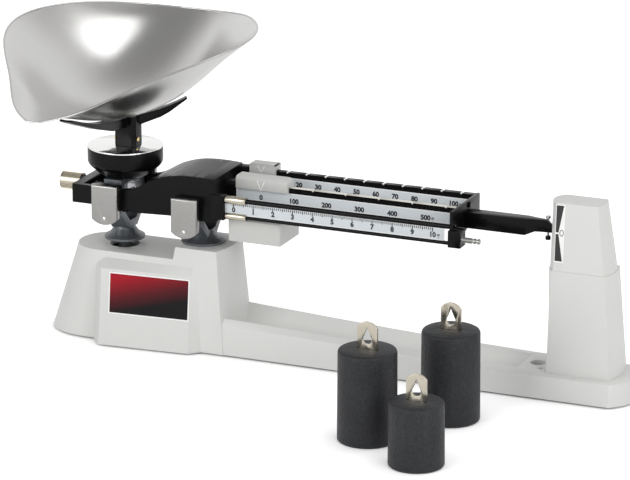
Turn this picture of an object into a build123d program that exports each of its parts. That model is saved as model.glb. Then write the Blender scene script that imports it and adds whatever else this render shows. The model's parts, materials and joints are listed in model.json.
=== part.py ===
from build123d import *
from math import atan2, cos, degrees
import os

# Triple beam balance with a scoop, built in millimetres, +Z up.
# X runs along the beam towards the pointer. In the modelling frame X = 0 is the
# pan's axis, Y = 0 is the beam's centre plane and Z = 0 is the table.

# Levers and heights
knife_spacing = 64.0
knife_z = 108.0
link_z = 32.0

# Base
base_foot_gap = 1.5
base_end_length = 16.0
base_end_bow = 14.0
channel_half_width = 26.3
channel_top_half_width = 25.0
platform_z = 19.0
platform_half_width = 19.6
rim_band = 6.5
casting_wall = 3.0
crest_width = 1.0
crest_clearance = 6.0
trough_floor_half_width = 7.5
trough_floor_z = 9.5
trough_ramp = 10.0
core_inner_y = 15.5
core_top_z = 14.0
core_draft = 0.8
socket_radius = 5.5
small_socket_offset = 6.5
small_socket_y = -11.5
small_socket_radius = 1.6

# Channel walls from housing to post: share of their run, outer height, half width and height of the crest
channel_walls = [
    (0.0, 24.6, 22.6, 29.4),
    (0.16, 23.4, 21.5, 27.4),
    (0.412, 21.6, 19.6, 24.8),
    (0.868, 18.7, 17.0, 20.4),
    (1.0, 17.9, 16.4, 19.2),
]
channel_root = 25.0
channel_end_gap = 10.0

# Housing under the pan and fulcrum
housing_nose_bottom = -58.0
housing_nose_top = -32.3
nose_depth_bottom = 36.0
nose_depth_top = 22.0
housing_half_width_bottom = 27.0
housing_half_width_top = 23.4
housing_right_bottom = 91.0
housing_right_top = 84.5
housing_bulge = 4.0
housing_top_z = 78.5
housing_step_z = 69.0
housing_step_x = 50.0
stem_hole_radius = 11.0
cut_reach = 60.0

# Raised panel on the housing's front
panel_left = -3.7
panel_right = 66.0
panel_front_left = 39.6
panel_front_right = 34.4
panel_face_z = 58.5
panel_top_z = 64.0
panel_lean = 6.5
panel_turn_in = 7.0
label_width = 63.0
label_height = 31.0
label_z = 41.0
label_thickness = 0.4

# Damper post
post_length = 47.0
post_half_width = 19.0
post_step_left_in = 1.0
post_step_right_in = 5.6
post_step_half_width = 16.0
post_step_z = 94.0
post_step_inset = 1.3
post_top_left_in = 3.3
post_top_right_in = 13.4
post_top_half_width = 11.0
post_top_z = 143.0
post_bulge = 3.5
post_left_bulge_low = 1.5
post_left_bulge_top = 6.0
post_wall = 2.6
slot_half_width = 6.5
slot_low_z = 103.0
slot_high_z = 138.0
zero_plate_width = 7.0
zero_plate_height = 42.0
zero_plate_thickness = 0.5

# Beam casting
beam_half_width = 25.5
beam_wall = 4.0
beam_left = -30.2
beam_right = 84.0
beam_low_z = 101.0
beam_left_low_z = 104.0
beam_top_z = 118.0
beam_arch_x = 48.0
beam_arch_z = 102.6
hood_high_z = 140.0
hood_line = [(12.0, 118.0), (19.0, 119.2), (34.5, 127.4), (44.5, 131.2), (55.0, 133.5), (71.4, 134.2),
             (84.0, 133.6)]
frame_left_x = -23.0
frame_right_x = 23.0
bar_boss_length = 7.0

# Bars, rods and scale plates
bracket_x = 267.5
bracket_thickness = 2.6
bracket_half_width = 26.5
bracket_top_z = 131.6
bar_y = 24.0
bar_width = 4.4
bar_height = 4.0
rear_bar_top_z = 131.2
middle_bar_top_z = 127.0
notch_depth = 1.0
upper_rod_radius = 1.8
upper_rod_z = 120.2
lower_rod_radius = 1.4
lower_rod_z = 108.0
front_y = -25.0
plate_thickness = 0.8
middle_plate_height = 8.4
rear_plate_height = 8.4
scale_left = 91.5
scale_right = 263.0

# Zero positions and pitches of the three scales
rear_zero_x = 101.8
rear_pitch = 15.1
rear_steps = 10
middle_zero_x = 111.7
middle_pitch = 25.8
middle_steps = 5
front_zero_x = 99.0

# Poises
poise_gap = 0.25
rear_poise_left = 9.3
rear_poise_length = 20.5
middle_poise_left = 19.4
middle_poise_length = 41.2
cap_depth = 11.0
cap_height = 9.8
rear_cap_height = 9.0
cap_overhang = 3.6
rear_cap_overhang = 4.3
middle_block_front = 19.0
middle_block_back = 16.0
middle_block_low_z = 87.2
middle_block_high_z = 103.4
rear_block_front = 5.5
rear_block_back = 7.0
rear_block_low_z = 106.0
rider_length = 16.0
rider_wall = 0.9

# Pointer arm
arm_half_width = 5.0
arm_low_z = 114.2
arm_high_z = 126.0
pointer_reach = 71.5
arm_tip_in = 4.0
arm_taper_length = 27.0
arm_step_length = 9.0
arm_tip_low_z = 117.2
arm_tip_high_z = 123.4
arm_tip_half_width = 1.5
hanger_pin_radius = 2.0
hanger_pin_length = 13.0
hanger_pin_z = 111.6
hanger_boss_right = 277.0
hanger_root_radius = 2.4

# Knives, bearings and covers
knife_half_width = 2.6
knife_height = 4.6
knife_inner_y = 12.8
knife_root_radius = 2.2
knife_gap = 0.1
fit_gap = 0.05
boss_half_width = 9.7
boss_depth = 9.0
cover_sheet = 0.7
cover_flange = 4.0
cover_drop = 29.5
cover_hole_radius = 1.1
cover_arc = 4.5
load_cover_top_z = 122.0
fulcrum_cover_top_z = 119.2

# Forks
arm_y = 17.0
arm_thickness = 5.0
fork_half_width = 7.0
fork_foot_radius = 16.5
pan_foot_radius = 15.0
pan_foot_low_z = 74.0
stem_radius = 4.5

# Pan holder
disc_radius = 27.8
disc_thickness = 1.2
disc_top_z = 145.0
bowl_base_radius = 16.0
bowl_low_z = 122.5
bowl_floor_z = 127.5
bowl_rim_depth = 9.0
bowl_round = 3.5
bowl_wall = 3.0
neck_radius = 9.0
seat_pin_radius = 4.0
seat_pin_height = 6.0

# Check link
link_half_thickness = 2.5
link_end_radius = 6.0
pin_radius = 2.0
cheek_thickness = 3.0
cheek_gap = 0.3

# Zero adjustment
zero_z = 112.1
zero_screw_radius = 2.0
zero_bush_radius = 3.4
zero_knob_radius = 6.6
zero_knob_length = 16.0
zero_knob_left = -50.0

# Scoop and its cradle
scoop_x = 1.2
scoop_length = 276.2
scoop_back_y = 127.8
scoop_sheet = 1.1
cradle_hub_left = 6.0
cradle_hub_right = 11.2
cradle_blank_z = 205.0
cradle_half_y = 7.0
cradle_arm_width = 9.0
cradle_gap = 0.3
cradle_screw_y = -2.5
cradle_screw_z = 150.5
cradle_screw_radius = 1.6
cradle_screw_head = 0.9

# Attachment weights: centre, radius, height
weight_radius = 21.0
weight_height = 66.0
small_weight_radius = 19.5
small_weight_height = 46.0
weight_wall = 6.0
strip_width = 15.0
strip_thickness = 1.6
strip_rise = 19.5
strip_hole_radius = 3.5

fulcrum_x = knife_spacing
middle_y = 0.0
rear_y = bar_y
weight_places = {
    "large_weight_1": (255.8, -149.0, weight_radius, weight_height),
    "large_weight_2": (293.0, -87.0, weight_radius, weight_height),
    "small_weight": (305.9, -183.0, small_weight_radius, small_weight_height),
}

# Label, post fixings and feet
panel_bevel_left = 8.0
panel_bevel_right = 3.5
label_shift = 3.2
socket_gap = 13.0
post_screw_left_in = 13.0
post_screw_right_in = 10.0
post_boss_height = 14.0
post_web = 1.5
screw_radius = 2.0
screw_head_radius = 3.8
screw_head_height = 2.4
plate_gap = 0.8
bottom_sheet = 1.5
foot_left_x = -24.0
foot_right_in = 12.0
foot_y = 15.0
foot_radius = 6.0
rib_half_width = 3.0

# Magnets beside the vane
magnet_left_in = 11.0
magnet_length = 14.0
magnet_inner_y = 2.2
magnet_outer_y = 5.6
magnet_sheet = 1.2
magnet_low_z = 110.0
magnet_high_z = 131.0
zero_plate_lift = 0.5

# Forks, bearings and knives, in detail
fork_root_z = 88.5
bearing_seat_z = 104.0
bearing_half_width = 4.6
vee_spread = 1.9
vee_depth = 3.0
bearing_lip = 1.5
link_bracket_half_length = 6.0
link_foot_length = 8.0
yoke_screw_tip_z = 84.0
bridge_low_z = 118.8
window_low_z = 102.4
window_high_z = 113.0

# Beam, bars and pointer, in detail
bar_boss_half_width = 3.4
bracket_screw_radius = 2.2
bracket_screw_head = 1.4
bracket_screw_gap = 0.5
cover_bend = 1.6
rear_notch_offset = 4.7
middle_notch_offset = 14.4
hanger_y = -24.8
trim_screw_back = 11.0
trim_screw_radius = 0.8
trim_low_z = 111.2
trim_high_z = 127.4
vane_length = 17.0
vane_half_thickness = 0.75
vane_half_height = 4.2

# Places along the beam that follow from the end bracket and the post
post_left = bracket_x + pointer_reach
post_right = post_left + post_length
post_step_left = post_left + post_step_left_in
post_step_right = post_right - post_step_right_in
post_top_left = post_left + post_top_left_in
post_top_right = post_right - post_top_right_in
post_screw_x = (post_left + post_screw_left_in, post_right - post_screw_right_in)
arm_tip_x = post_left + arm_tip_in
arm_taper_x = arm_tip_x - arm_taper_length
arm_step_x = arm_tip_x - arm_step_length
trim_screw_x = arm_tip_x - trim_screw_back
vane_right_x = arm_tip_x + vane_length
magnet_left_x = post_left + magnet_left_in
magnet_back_x = magnet_left_x + magnet_length
foot_x = (foot_left_x, post_right - foot_right_in)
base_length_right = post_right + base_end_length
base_corner_x = base_length_right - base_end_bow
socket_x = post_left - socket_gap
small_socket_x = socket_x + small_socket_offset
channel_start_x = housing_right_bottom - channel_root
channel_end_x = socket_x - channel_end_gap
channel_stations = [(channel_start_x + share * (channel_end_x - channel_start_x), outer_z, crest_y, crest_z)
                    for share, outer_z, crest_y, crest_z in channel_walls]

# Poises, in detail
rider_left = 5.3
poise_round = 1.2
rear_block_high_z = 117.6

# Weights, in detail
weight_roof = 8.0
strip_root = 6.0
strip_hole_rise = 6.9
strip_notch_top = 4.0
plug_recess = 0.6
plug_thickness = 3.0

# Cradle arms: lower and upper edges by distance from the hub's middle and height
front_arm_low = [(0, 158), (9, 160), (29.4, 162.6), (50.7, 169.1), (73.8, 177.4), (90.8, 183.5), (98, 186.6)]
front_arm_high = [(0, 182), (12, 182), (18, 175), (29, 172.6), (42.4, 172.2), (58.7, 176.7), (82.7, 186.1),
                  (88, 194)]
side_arm_low = [(0, 158), (9, 160), (13.4, 161.6), (25.9, 165.9), (32.5, 169.5), (39.1, 174.3), (45.5, 178.9)]
side_arm_high = [(0, 194), (45.5, 194)]

# Scoop stations from back to lip: share of the length, half width, rim height and keel height
scoop_stations = [
    (0.0, 14.0, 219.8, 217.4),
    (0.03, 38.0, 221.2, 210.0),
    (0.08, 50.5, 223.4, 201.0),
    (0.17, 68.0, 227.4, 188.0),
    (0.29, 87.5, 229.5, 174.5),
    (0.41, 94.8, 228.4, 168.3),
    (0.55, 86.4, 225.4, 169.0),
    (0.69, 65.6, 218.6, 177.0),
    (0.78, 49.4, 213.0, 185.0),
    (0.89, 32.7, 204.9, 194.0),
    (0.96, 20.1, 200.4, 197.2),
    (1.0, 6.0, 198.9, 198.0),
]

# Scoop wall: share of the half width, share of the rise from keel to rim
scoop_wall = [(0.25, 0.07), (0.5, 0.26), (0.75, 0.62), (1.0, 1.0)]

origin_y = (scoop_back_y + weight_places["small_weight"][1] - small_weight_radius) / 2

pieces = {}


def box(x0, x1, y0, y1, z0, z1):
    """A block between two corners."""
    centre = Pos((x0 + x1) / 2, (y0 + y1) / 2, (z0 + z1) / 2)
    return centre * Box(x1 - x0, y1 - y0, z1 - z0)


def rod_z(x, y, z0, z1, radius):
    """An upright round bar."""
    return Pos(x, y, (z0 + z1) / 2) * Cylinder(radius, z1 - z0)


def rod_x(x0, x1, y, z, radius):
    """A round bar along the beam."""
    return Pos((x0 + x1) / 2, y, z) * Rot(0, 90, 0) * Cylinder(radius, x1 - x0)


def rod_y(x, y0, y1, z, radius):
    """A round bar across the beam."""
    return Pos(x, (y0 + y1) / 2, z) * Rot(90, 0, 0) * Cylinder(radius, y1 - y0)


def prism_y(points, y0, y1):
    """A side profile in X and Z, drawn out across the beam."""
    profile = make_face(Polyline([(x, y0, z) for x, z in points], close=True))
    return extrude(profile, amount=y1 - y0, dir=(0, 1, 0))


def prism_x(points, x0, x1):
    """A cross-section in Y and Z, drawn out along the beam."""
    profile = make_face(Polyline([(x0, y, z) for y, z in points], close=True))
    return extrude(profile, amount=x1 - x0, dir=(1, 0, 0))


def prism_z(points, z0, z1):
    """A plan in X and Y, drawn upwards."""
    profile = make_face(Polyline([(x, y, z0) for x, y in points], close=True))
    return extrude(profile, amount=z1 - z0, dir=(0, 0, 1))


def turned(points, x=0.0, y=0.0):
    """A round piece from a half profile of (radius, z) points."""
    profile = make_face(Polyline([(r, 0, z) for r, z in points], close=True))
    return Pos(x, y, 0) * revolve(profile, Axis.Z)


def housing_outline(left, nose_depth, half_width, right, bulge, z):
    """Housing plan: a round nose on the left, a gently bowed end on the right."""
    nose_x = left + nose_depth
    nose = EllipticalCenterArc((nose_x, 0, z), nose_depth, half_width, start_angle=90, arc_size=180)
    front = Line((nose_x, -half_width, z), (right, -half_width, z))
    end = ThreePointArc((right, -half_width, z), (right + bulge, 0, z), (right, half_width, z))
    back = Line((right, half_width, z), (nose_x, half_width, z))
    return make_face(nose + front + end + back)


def housing_solid(inset):
    """The tapered housing, or its hollow when it is inset by a wall."""
    low = housing_outline(housing_nose_bottom + inset, nose_depth_bottom, housing_half_width_bottom - inset,
                          housing_right_bottom - inset, housing_bulge, base_foot_gap)
    high = housing_outline(housing_nose_top + inset, nose_depth_top, housing_half_width_top - inset,
                           housing_right_top - inset, housing_bulge, housing_top_z)
    body = loft([low, high], ruled=True)
    left = housing_nose_bottom
    step = prism_y([(left, housing_step_z - inset), (housing_step_x + inset, housing_step_z - inset),
                    (housing_step_x + inset + 2, housing_top_z + 1), (left, housing_top_z + 1)],
                   -cut_reach, cut_reach)
    body -= step
    if inset:
        body -= box(left, housing_right_bottom + 20, -cut_reach, cut_reach, housing_top_z - inset,
                    housing_top_z + 1)
    return body


def d_outline(half_width, right, corner, left, z):
    """The channel's plan: straight sides and a bowed right end."""
    sides = Polyline([(corner, -half_width, z), (left, -half_width, z), (left, half_width, z),
                      (corner, half_width, z)])
    end = ThreePointArc((corner, half_width, z), (right, 0, z), (corner, -half_width, z))
    return make_face(sides + end)


def channel_loft(stations):
    """A body along the beam, lofted through sections of (x, [(y, z), ...])."""
    faces = [make_face(Polyline([(x, y, z) for y, z in points], close=True)) for x, points in stations]
    return loft(faces, ruled=True)


def mirrored(points):
    """The points and their mirror images across the beam, in going-round order."""
    return points + [(-y, z) for y, z in reversed(points)]


def channel_solid():
    """The long low channel: its side walls fall away from the housing towards the post."""
    walls = channel_loft([
        (x, mirrored([(-channel_half_width, base_foot_gap), (-channel_top_half_width, outer_z),
                      (-crest_y, crest_z)]))
        for x, outer_z, crest_y, crest_z in channel_stations])
    end_x, outer_z = channel_end_x, channel_stations[-1][1]
    low = d_outline(channel_half_width, base_length_right, base_corner_x, end_x, base_foot_gap)
    edge = d_outline(channel_top_half_width, base_length_right - 1.3, base_corner_x, end_x, outer_z)
    top = d_outline(platform_half_width, base_length_right - rim_band, base_corner_x, end_x, platform_z)
    return walls + loft([low, edge], ruled=True) + loft([edge, top], ruled=True)


def panel_solid():
    """The raised panel that carries the label, bevelled at its top."""
    root = housing_half_width_top - 8

    def plan(front_left, front_right, z):
        return make_face(Polyline([
            (panel_left - panel_turn_in - 6, -root, z),
            (panel_left - panel_turn_in, -front_left + panel_turn_in, z),
            (panel_left, -front_left, z), (panel_right, -front_right, z),
            (panel_right + panel_turn_in, -front_right + panel_turn_in, z),
            (panel_right + panel_turn_in, -root, z)], close=True))
    low = plan(panel_front_left, panel_front_right, base_foot_gap)
    face = plan(panel_front_left - panel_lean, panel_front_right - panel_lean, panel_face_z)
    top = plan(panel_front_left - panel_lean - panel_bevel_left,
               panel_front_right - panel_lean - panel_bevel_right, panel_top_z)
    return loft([low, face], ruled=True) + loft([face, top], ruled=True)


def trough_cut():
    """The long trough between the channel's walls, with a ramp at its right end."""
    section = channel_loft([
        (x, mirrored([(-crest_y + crest_width, crest_z + crest_clearance), (-crest_y + crest_width, crest_z),
                      (-trough_floor_half_width, trough_floor_z)]))
        for x, outer_z, crest_y, crest_z in channel_stations])
    left = channel_start_x
    end_x = channel_end_x
    high_z = channel_stations[0][3] + crest_clearance
    side = prism_y([(left, trough_floor_z), (end_x - trough_ramp, trough_floor_z), (end_x, platform_z),
                    (end_x, high_z), (left, high_z)], -channel_half_width, channel_half_width)
    return section & side


def channel_hollow():
    """The open underside of the channel, with a core along each side wall."""
    outline = d_outline(channel_half_width - casting_wall, base_length_right - casting_wall,
                        base_corner_x - casting_wall, channel_start_x, base_foot_gap)
    hollow = extrude(outline, amount=trough_floor_z - casting_wall - base_foot_gap, dir=(0, 0, 1))
    outer_y = channel_half_width - casting_wall
    for side in (-1, 1):
        core = [(side * core_inner_y, base_foot_gap), (side * outer_y, base_foot_gap),
                (side * (outer_y - core_draft), core_top_z), (side * core_inner_y, core_top_z)]
        hollow += prism_x(core, housing_right_bottom - 5, channel_end_x)
    return hollow


def base_casting():
    """Housing, label panel and channel, cast in one and hollow underneath."""
    body = channel_solid() - trough_cut() + housing_solid(0) + panel_solid()
    body -= housing_solid(casting_wall)
    body -= channel_hollow()
    body -= rod_z(socket_x, 0, base_foot_gap, platform_z + 1, socket_radius)
    body -= rod_z(small_socket_x, small_socket_y, platform_z - 5, platform_z + 1, small_socket_radius)
    body -= rod_z(0, 0, housing_step_z - 10, housing_top_z, stem_hole_radius)
    body -= rod_z(fulcrum_x, 0, housing_step_z, housing_top_z + 1, screw_radius + fit_gap)
    for x in post_screw_x:
        body -= rod_z(x, 0, base_foot_gap, platform_z + 1, screw_radius + fit_gap)
    return body


def bottom_plate():
    """The sheet that closes the casting underneath."""
    edge = casting_wall + plate_gap
    top = base_foot_gap + bottom_sheet
    left = housing_nose_bottom + edge
    nose_x = left + nose_depth_bottom
    housing = prism_z([(nose_x, -housing_half_width_bottom + edge), (housing_right_bottom - edge - 3,
                       -housing_half_width_bottom + edge), (housing_right_bottom - edge - 3,
                       housing_half_width_bottom - edge), (nose_x, housing_half_width_bottom - edge)],
                      base_foot_gap, top)
    nose = housing_outline(left, nose_depth_bottom, housing_half_width_bottom - edge, nose_x + 5, 1.0,
                           base_foot_gap)
    channel = d_outline(channel_half_width - edge - 1, base_length_right - edge - 1, base_corner_x - edge,
                        housing_right_bottom - 30, base_foot_gap)
    return housing + extrude(nose, amount=bottom_sheet) + extrude(channel, amount=bottom_sheet)


def rubber_feet():
    """Four rubber pads under the bottom plate."""
    return [rod_z(x, side * foot_y, 0, base_foot_gap, foot_radius) for x in foot_x for side in (-1, 1)]


def label_plate():
    """The printed plate on the panel's leaning front."""
    turn = atan2(panel_front_left - panel_front_right, panel_right - panel_left)
    lean = atan2(panel_lean * cos(turn), panel_face_z - base_foot_gap)
    x = (panel_left + panel_right) / 2 + label_shift
    share = (x - panel_left) / (panel_right - panel_left)
    front = panel_front_left + share * (panel_front_right - panel_front_left)
    y = -front + (label_z - base_foot_gap) * panel_lean / (panel_face_z - base_foot_gap)
    seat = Pos(x, y, label_z) * Rot(0, 0, degrees(turn)) * Rot(-degrees(lean), 0, 0)
    return seat * Pos(0, -label_thickness / 2, 0) * Box(label_width, label_thickness, label_height)


def post_outline(left, right, half_width, bulge_left, bulge_right, z):
    """Post plan: flat front and back, bowed ends."""
    front = Line((left, -half_width, z), (right, -half_width, z))
    end = ThreePointArc((right, -half_width, z), (right + bulge_right, 0, z), (right, half_width, z))
    back = Line((right, half_width, z), (left, half_width, z))
    start = ThreePointArc((left, half_width, z), (left - bulge_left, 0, z), (left, -half_width, z))
    return make_face(front + end + back + start)


def post_solid(inset):
    """The two-tier post, or its hollow when it is inset by a wall."""
    step = post_step_inset + inset
    foot = post_outline(post_left + inset, post_right - inset, post_half_width - inset,
                        post_left_bulge_low, post_bulge, platform_z)
    shoulder = post_outline(post_step_left + inset, post_step_right - inset, post_step_half_width - inset,
                            post_left_bulge_top - 1, post_bulge, post_step_z - inset)
    neck = post_outline(post_step_left + step, post_step_right - step, post_step_half_width - step,
                        post_left_bulge_top, post_bulge, post_step_z - inset)
    top = post_outline(post_top_left + inset, post_top_right - inset, post_top_half_width - inset,
                       post_left_bulge_top, post_bulge - 1, post_top_z - inset)
    return loft([foot, shoulder], ruled=True) + loft([neck, top], ruled=True)


def damper_post():
    """Hollow post with the pointer's slot, two screw bosses and a rib for the magnets."""
    body = post_solid(0) - post_solid(post_wall)
    for x in post_screw_x:
        boss = rod_z(x, 0, platform_z, platform_z + post_boss_height, screw_radius + 3)
        web = box(x - post_web, x + post_web, -post_half_width, post_half_width, platform_z,
                  platform_z + post_boss_height - 4)
        body += (boss + web) & post_solid(0)
        body -= rod_z(x, 0, platform_z, platform_z + post_boss_height - 2, screw_radius + fit_gap)
    rib = box(magnet_back_x, post_step_right - 4, -rib_half_width, rib_half_width, slot_low_z + 6,
              slot_high_z - 6) & post_solid(0)
    body += rib
    return body - box(post_left - 10, magnet_left_x - 3, -slot_half_width, slot_half_width, slot_low_z,
                      slot_high_z)


def post_screws():
    """Two screws that hold the post from under the channel."""
    head_z = trough_floor_z - casting_wall
    return [screw_up(x, 0, head_z, platform_z + post_boss_height - 3) for x in post_screw_x]


def screw_up(x, y, seat_z, tip_z):
    """A pan-head screw that points up, with its head under the seat."""
    head = rod_z(x, y, seat_z - screw_head_height, seat_z, screw_head_radius)
    return head + rod_z(x, y, seat_z, tip_z, screw_radius)


def zero_plate():
    """The printed zero plate on the post's front, at its left edge."""
    rise = post_top_z - post_step_z
    run = post_step_half_width - post_step_inset - post_top_half_width
    z = (slot_low_z + slot_high_z) / 2 + zero_plate_lift
    y = -(post_top_half_width + run * (post_top_z - z) / rise)
    x = post_top_left + zero_plate_width / 2 - 0.4
    seat = Pos(x, y, z) * Rot(-degrees(atan2(run, rise)), 0, 0)
    return seat * Pos(0, -zero_plate_thickness / 2, 0) * Box(zero_plate_width, zero_plate_thickness,
                                                             zero_plate_height)


def magnet_bracket():
    """The folded steel bracket that carries the two damper magnets."""
    y = magnet_outer_y + magnet_sheet
    back = box(magnet_back_x - magnet_sheet, magnet_back_x, -y, y, magnet_low_z, magnet_high_z)
    for side in (-1, 1):
        cheek = sorted((side * magnet_outer_y, side * y))
        back += box(magnet_left_x, magnet_back_x, cheek[0], cheek[1], magnet_low_z, magnet_high_z)
    return back


def damper_magnets():
    """Two magnets, one each side of the vane."""
    magnets = []
    for side in (-1, 1):
        y = sorted((side * magnet_inner_y, side * magnet_outer_y))
        magnets.append(box(magnet_left_x, magnet_back_x - magnet_sheet - 1, y[0], y[1], magnet_low_z + 2,
                           magnet_high_z - 2))
    return magnets


def fork_section(top_z, low_z):
    """The U of a fork in Y and Z: two upright arms on a rounded root."""
    outer = arm_y + arm_thickness / 2
    inner = arm_y - arm_thickness / 2
    return [(-7, low_z - 6), (7, low_z - 6), (outer, low_z + 7), (outer, top_z), (inner, top_z),
            (inner, low_z + 9.5), (5.5, low_z), (-5.5, low_z), (-inner, low_z + 9.5), (-inner, top_z),
            (-outer, top_z), (-outer, low_z + 7)]


def fulcrum_yoke():
    """The fork on the housing that holds the main bearings."""
    foot = turned([(0, housing_top_z), (fork_foot_radius, housing_top_z),
                   (fork_foot_radius, housing_top_z + 1.6), (12.5, housing_top_z + 3),
                   (9, housing_top_z + 6), (7.5, housing_top_z + 10), (0, housing_top_z + 10)], fulcrum_x)
    arms = prism_x(fork_section(bearing_seat_z, fork_root_z), fulcrum_x - fork_half_width,
                   fulcrum_x + fork_half_width)
    return foot + arms - rod_z(fulcrum_x, 0, housing_top_z, yoke_screw_tip_z + 0.5, screw_radius + fit_gap)


def fulcrum_screw():
    """The screw that holds the yoke from inside the housing."""
    return screw_up(fulcrum_x, 0, housing_top_z - casting_wall, yoke_screw_tip_z)


def vee(x, apex_z, rise, y0, y1):
    """A wide V that opens upwards for a positive rise."""
    reach = abs(rise) * vee_spread
    return prism_y([(x, apex_z), (x + reach, apex_z + rise), (x - reach, apex_z + rise)], y0, y1)


def bearing_pair(x, low_z, high_z, apex_z, rise):
    """Two hardened V blocks, one on each arm of a fork."""
    blocks = []
    for side in (-1, 1):
        y0 = side * arm_y - arm_thickness / 2
        y1 = side * arm_y + arm_thickness / 2
        block = box(x - bearing_half_width, x + bearing_half_width, y0, y1, low_z, high_z)
        blocks.append(block - vee(x, apex_z, rise, y0, y1))
    return blocks


def knife_pair(x, point):
    """Two knife edges set in the beam's side walls; point is 1 for edges that look up."""
    knives = []
    wall_y = beam_half_width - beam_wall
    base_z = knife_z - point * knife_height
    root_z = knife_z - point * knife_height * 0.55
    for side in (-1, 1):
        y0, y1 = sorted((side * knife_inner_y, side * wall_y))
        blade = prism_y([(x, knife_z), (x + knife_half_width, base_z), (x - knife_half_width, base_z)],
                        y0, y1)
        r0, r1 = sorted((side * (wall_y - 2), side * (beam_half_width + 2)))
        knives.append(blade + rod_y(x, r0, r1, root_z, knife_root_radius))
    return knives


def pan_yoke():
    """The stirrup that hangs on the load knives, with its foot, stem and clevis."""
    foot = turned([(0, pan_foot_low_z), (pan_foot_radius, pan_foot_low_z),
                   (pan_foot_radius, pan_foot_low_z + 1.6), (11, pan_foot_low_z + 4),
                   (8, pan_foot_low_z + 8), (7, pan_foot_low_z + 11), (0, pan_foot_low_z + 11)])
    arms = prism_x(fork_section(bridge_low_z, fork_root_z), -fork_half_width, fork_half_width)
    outer = arm_y + arm_thickness / 2
    arms += box(-fork_half_width, fork_half_width, -outer, outer, bridge_low_z, bowl_low_z)
    arms += rod_z(0, 0, bridge_low_z, bowl_low_z, neck_radius)
    window = box(-bearing_half_width, bearing_half_width, -outer - 1, outer + 1, window_low_z, window_high_z)
    inner = arm_y - arm_thickness / 2
    window -= box(-20, 20, -inner, inner, window_low_z - 1, window_high_z + 1)
    arms -= window
    clevis_top = link_z + link_end_radius + 2
    stem = rod_z(0, 0, clevis_top, pan_foot_low_z + 1, stem_radius)
    outer_cheek = link_half_thickness + cheek_gap + cheek_thickness
    clevis = box(-stem_radius, stem_radius, -outer_cheek, outer_cheek, link_z - stem_radius, clevis_top + 3)
    clevis -= box(-stem_radius, stem_radius, -link_half_thickness - cheek_gap,
                  link_half_thickness + cheek_gap, link_z - stem_radius, clevis_top)
    clevis -= rod_y(0, -outer_cheek, outer_cheek, link_z, pin_radius)
    return foot + arms + stem + clevis


def cross_pin(x):
    """A plain pin across the check link at one of its ends."""
    reach = link_half_thickness + cheek_gap + cheek_thickness + 0.6
    return rod_y(x, -reach, reach, link_z, pin_radius)


def check_link():
    """The flat bar that keeps the pan's stem upright."""
    bar = box(0, fulcrum_x, -link_half_thickness, link_half_thickness, link_z - 4, link_z + 4)
    for x in (0, fulcrum_x):
        bar += rod_y(x, -link_half_thickness, link_half_thickness, link_z, link_end_radius)
    for x in (0, fulcrum_x):
        bar -= rod_y(x, -10, 10, link_z, pin_radius + fit_gap)
    return bar


def check_bracket():
    """The U bracket on the bottom plate that holds the link's fixed end."""
    low = base_foot_gap + bottom_sheet
    outer = link_half_thickness + cheek_gap + cheek_thickness
    left = fulcrum_x - link_bracket_half_length
    right = fulcrum_x + link_bracket_half_length
    bracket = box(left, right, -outer, outer, low, link_z + 6)
    bracket -= box(left, right, -outer + cheek_thickness, outer - cheek_thickness, low + 3,
                   link_z + 6)
    bracket += box(left, right, -outer - link_foot_length, outer + link_foot_length, low, low + 2)
    return bracket - rod_y(fulcrum_x, -outer, outer, link_z, pin_radius)


def pan_disc():
    """The polished plate that the cradle stands on, with its centring pin."""
    plate = rod_z(scoop_x, 0, disc_top_z - disc_thickness, disc_top_z, disc_radius)
    return plate + rod_z(scoop_x, 0, disc_top_z, disc_top_z + seat_pin_height, seat_pin_radius)


def pan_bowl():
    """The bowl-shaped holder under the plate, hollow above its floor."""
    top = disc_top_z - disc_thickness
    rim = top - bowl_rim_depth
    inner = disc_radius - bowl_wall
    outer = Spline([(disc_radius, 0, rim), (disc_radius - bowl_round, 0, rim - 6),
                    (bowl_base_radius, 0, bowl_low_z)], tangents=[(0, 0, -1), (-1, 0, -0.35)])
    sides = Polyline([(bowl_base_radius, 0, bowl_low_z), (0, 0, bowl_low_z), (0, 0, bowl_floor_z),
                      (bowl_base_radius - 4, 0, bowl_floor_z), (inner, 0, rim), (inner, 0, top),
                      (disc_radius, 0, top), (disc_radius, 0, rim)])
    return Pos(scoop_x, 0, 0) * revolve(make_face(outer + sides), Axis.Z)


def hood_profile():
    """The beam's side view."""
    start = (beam_left, 0, beam_top_z)
    first = (hood_line[0][0], 0, hood_line[0][1])
    crown = Spline([(x, 0, z) for x, z in hood_line], tangents=[(1, 0, 0.05), (1, 0, -0.06)])
    rest = Polyline([(hood_line[-1][0], 0, hood_line[-1][1]), (beam_right, 0, beam_low_z),
                     (beam_arch_x, 0, beam_arch_z), (boss_half_width + 1, 0, beam_low_z),
                     (boss_half_width - 2, 0, beam_left_low_z), (beam_left, 0, beam_left_low_z), start])
    return make_face(Line(start, first) + crown + rest)


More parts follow.
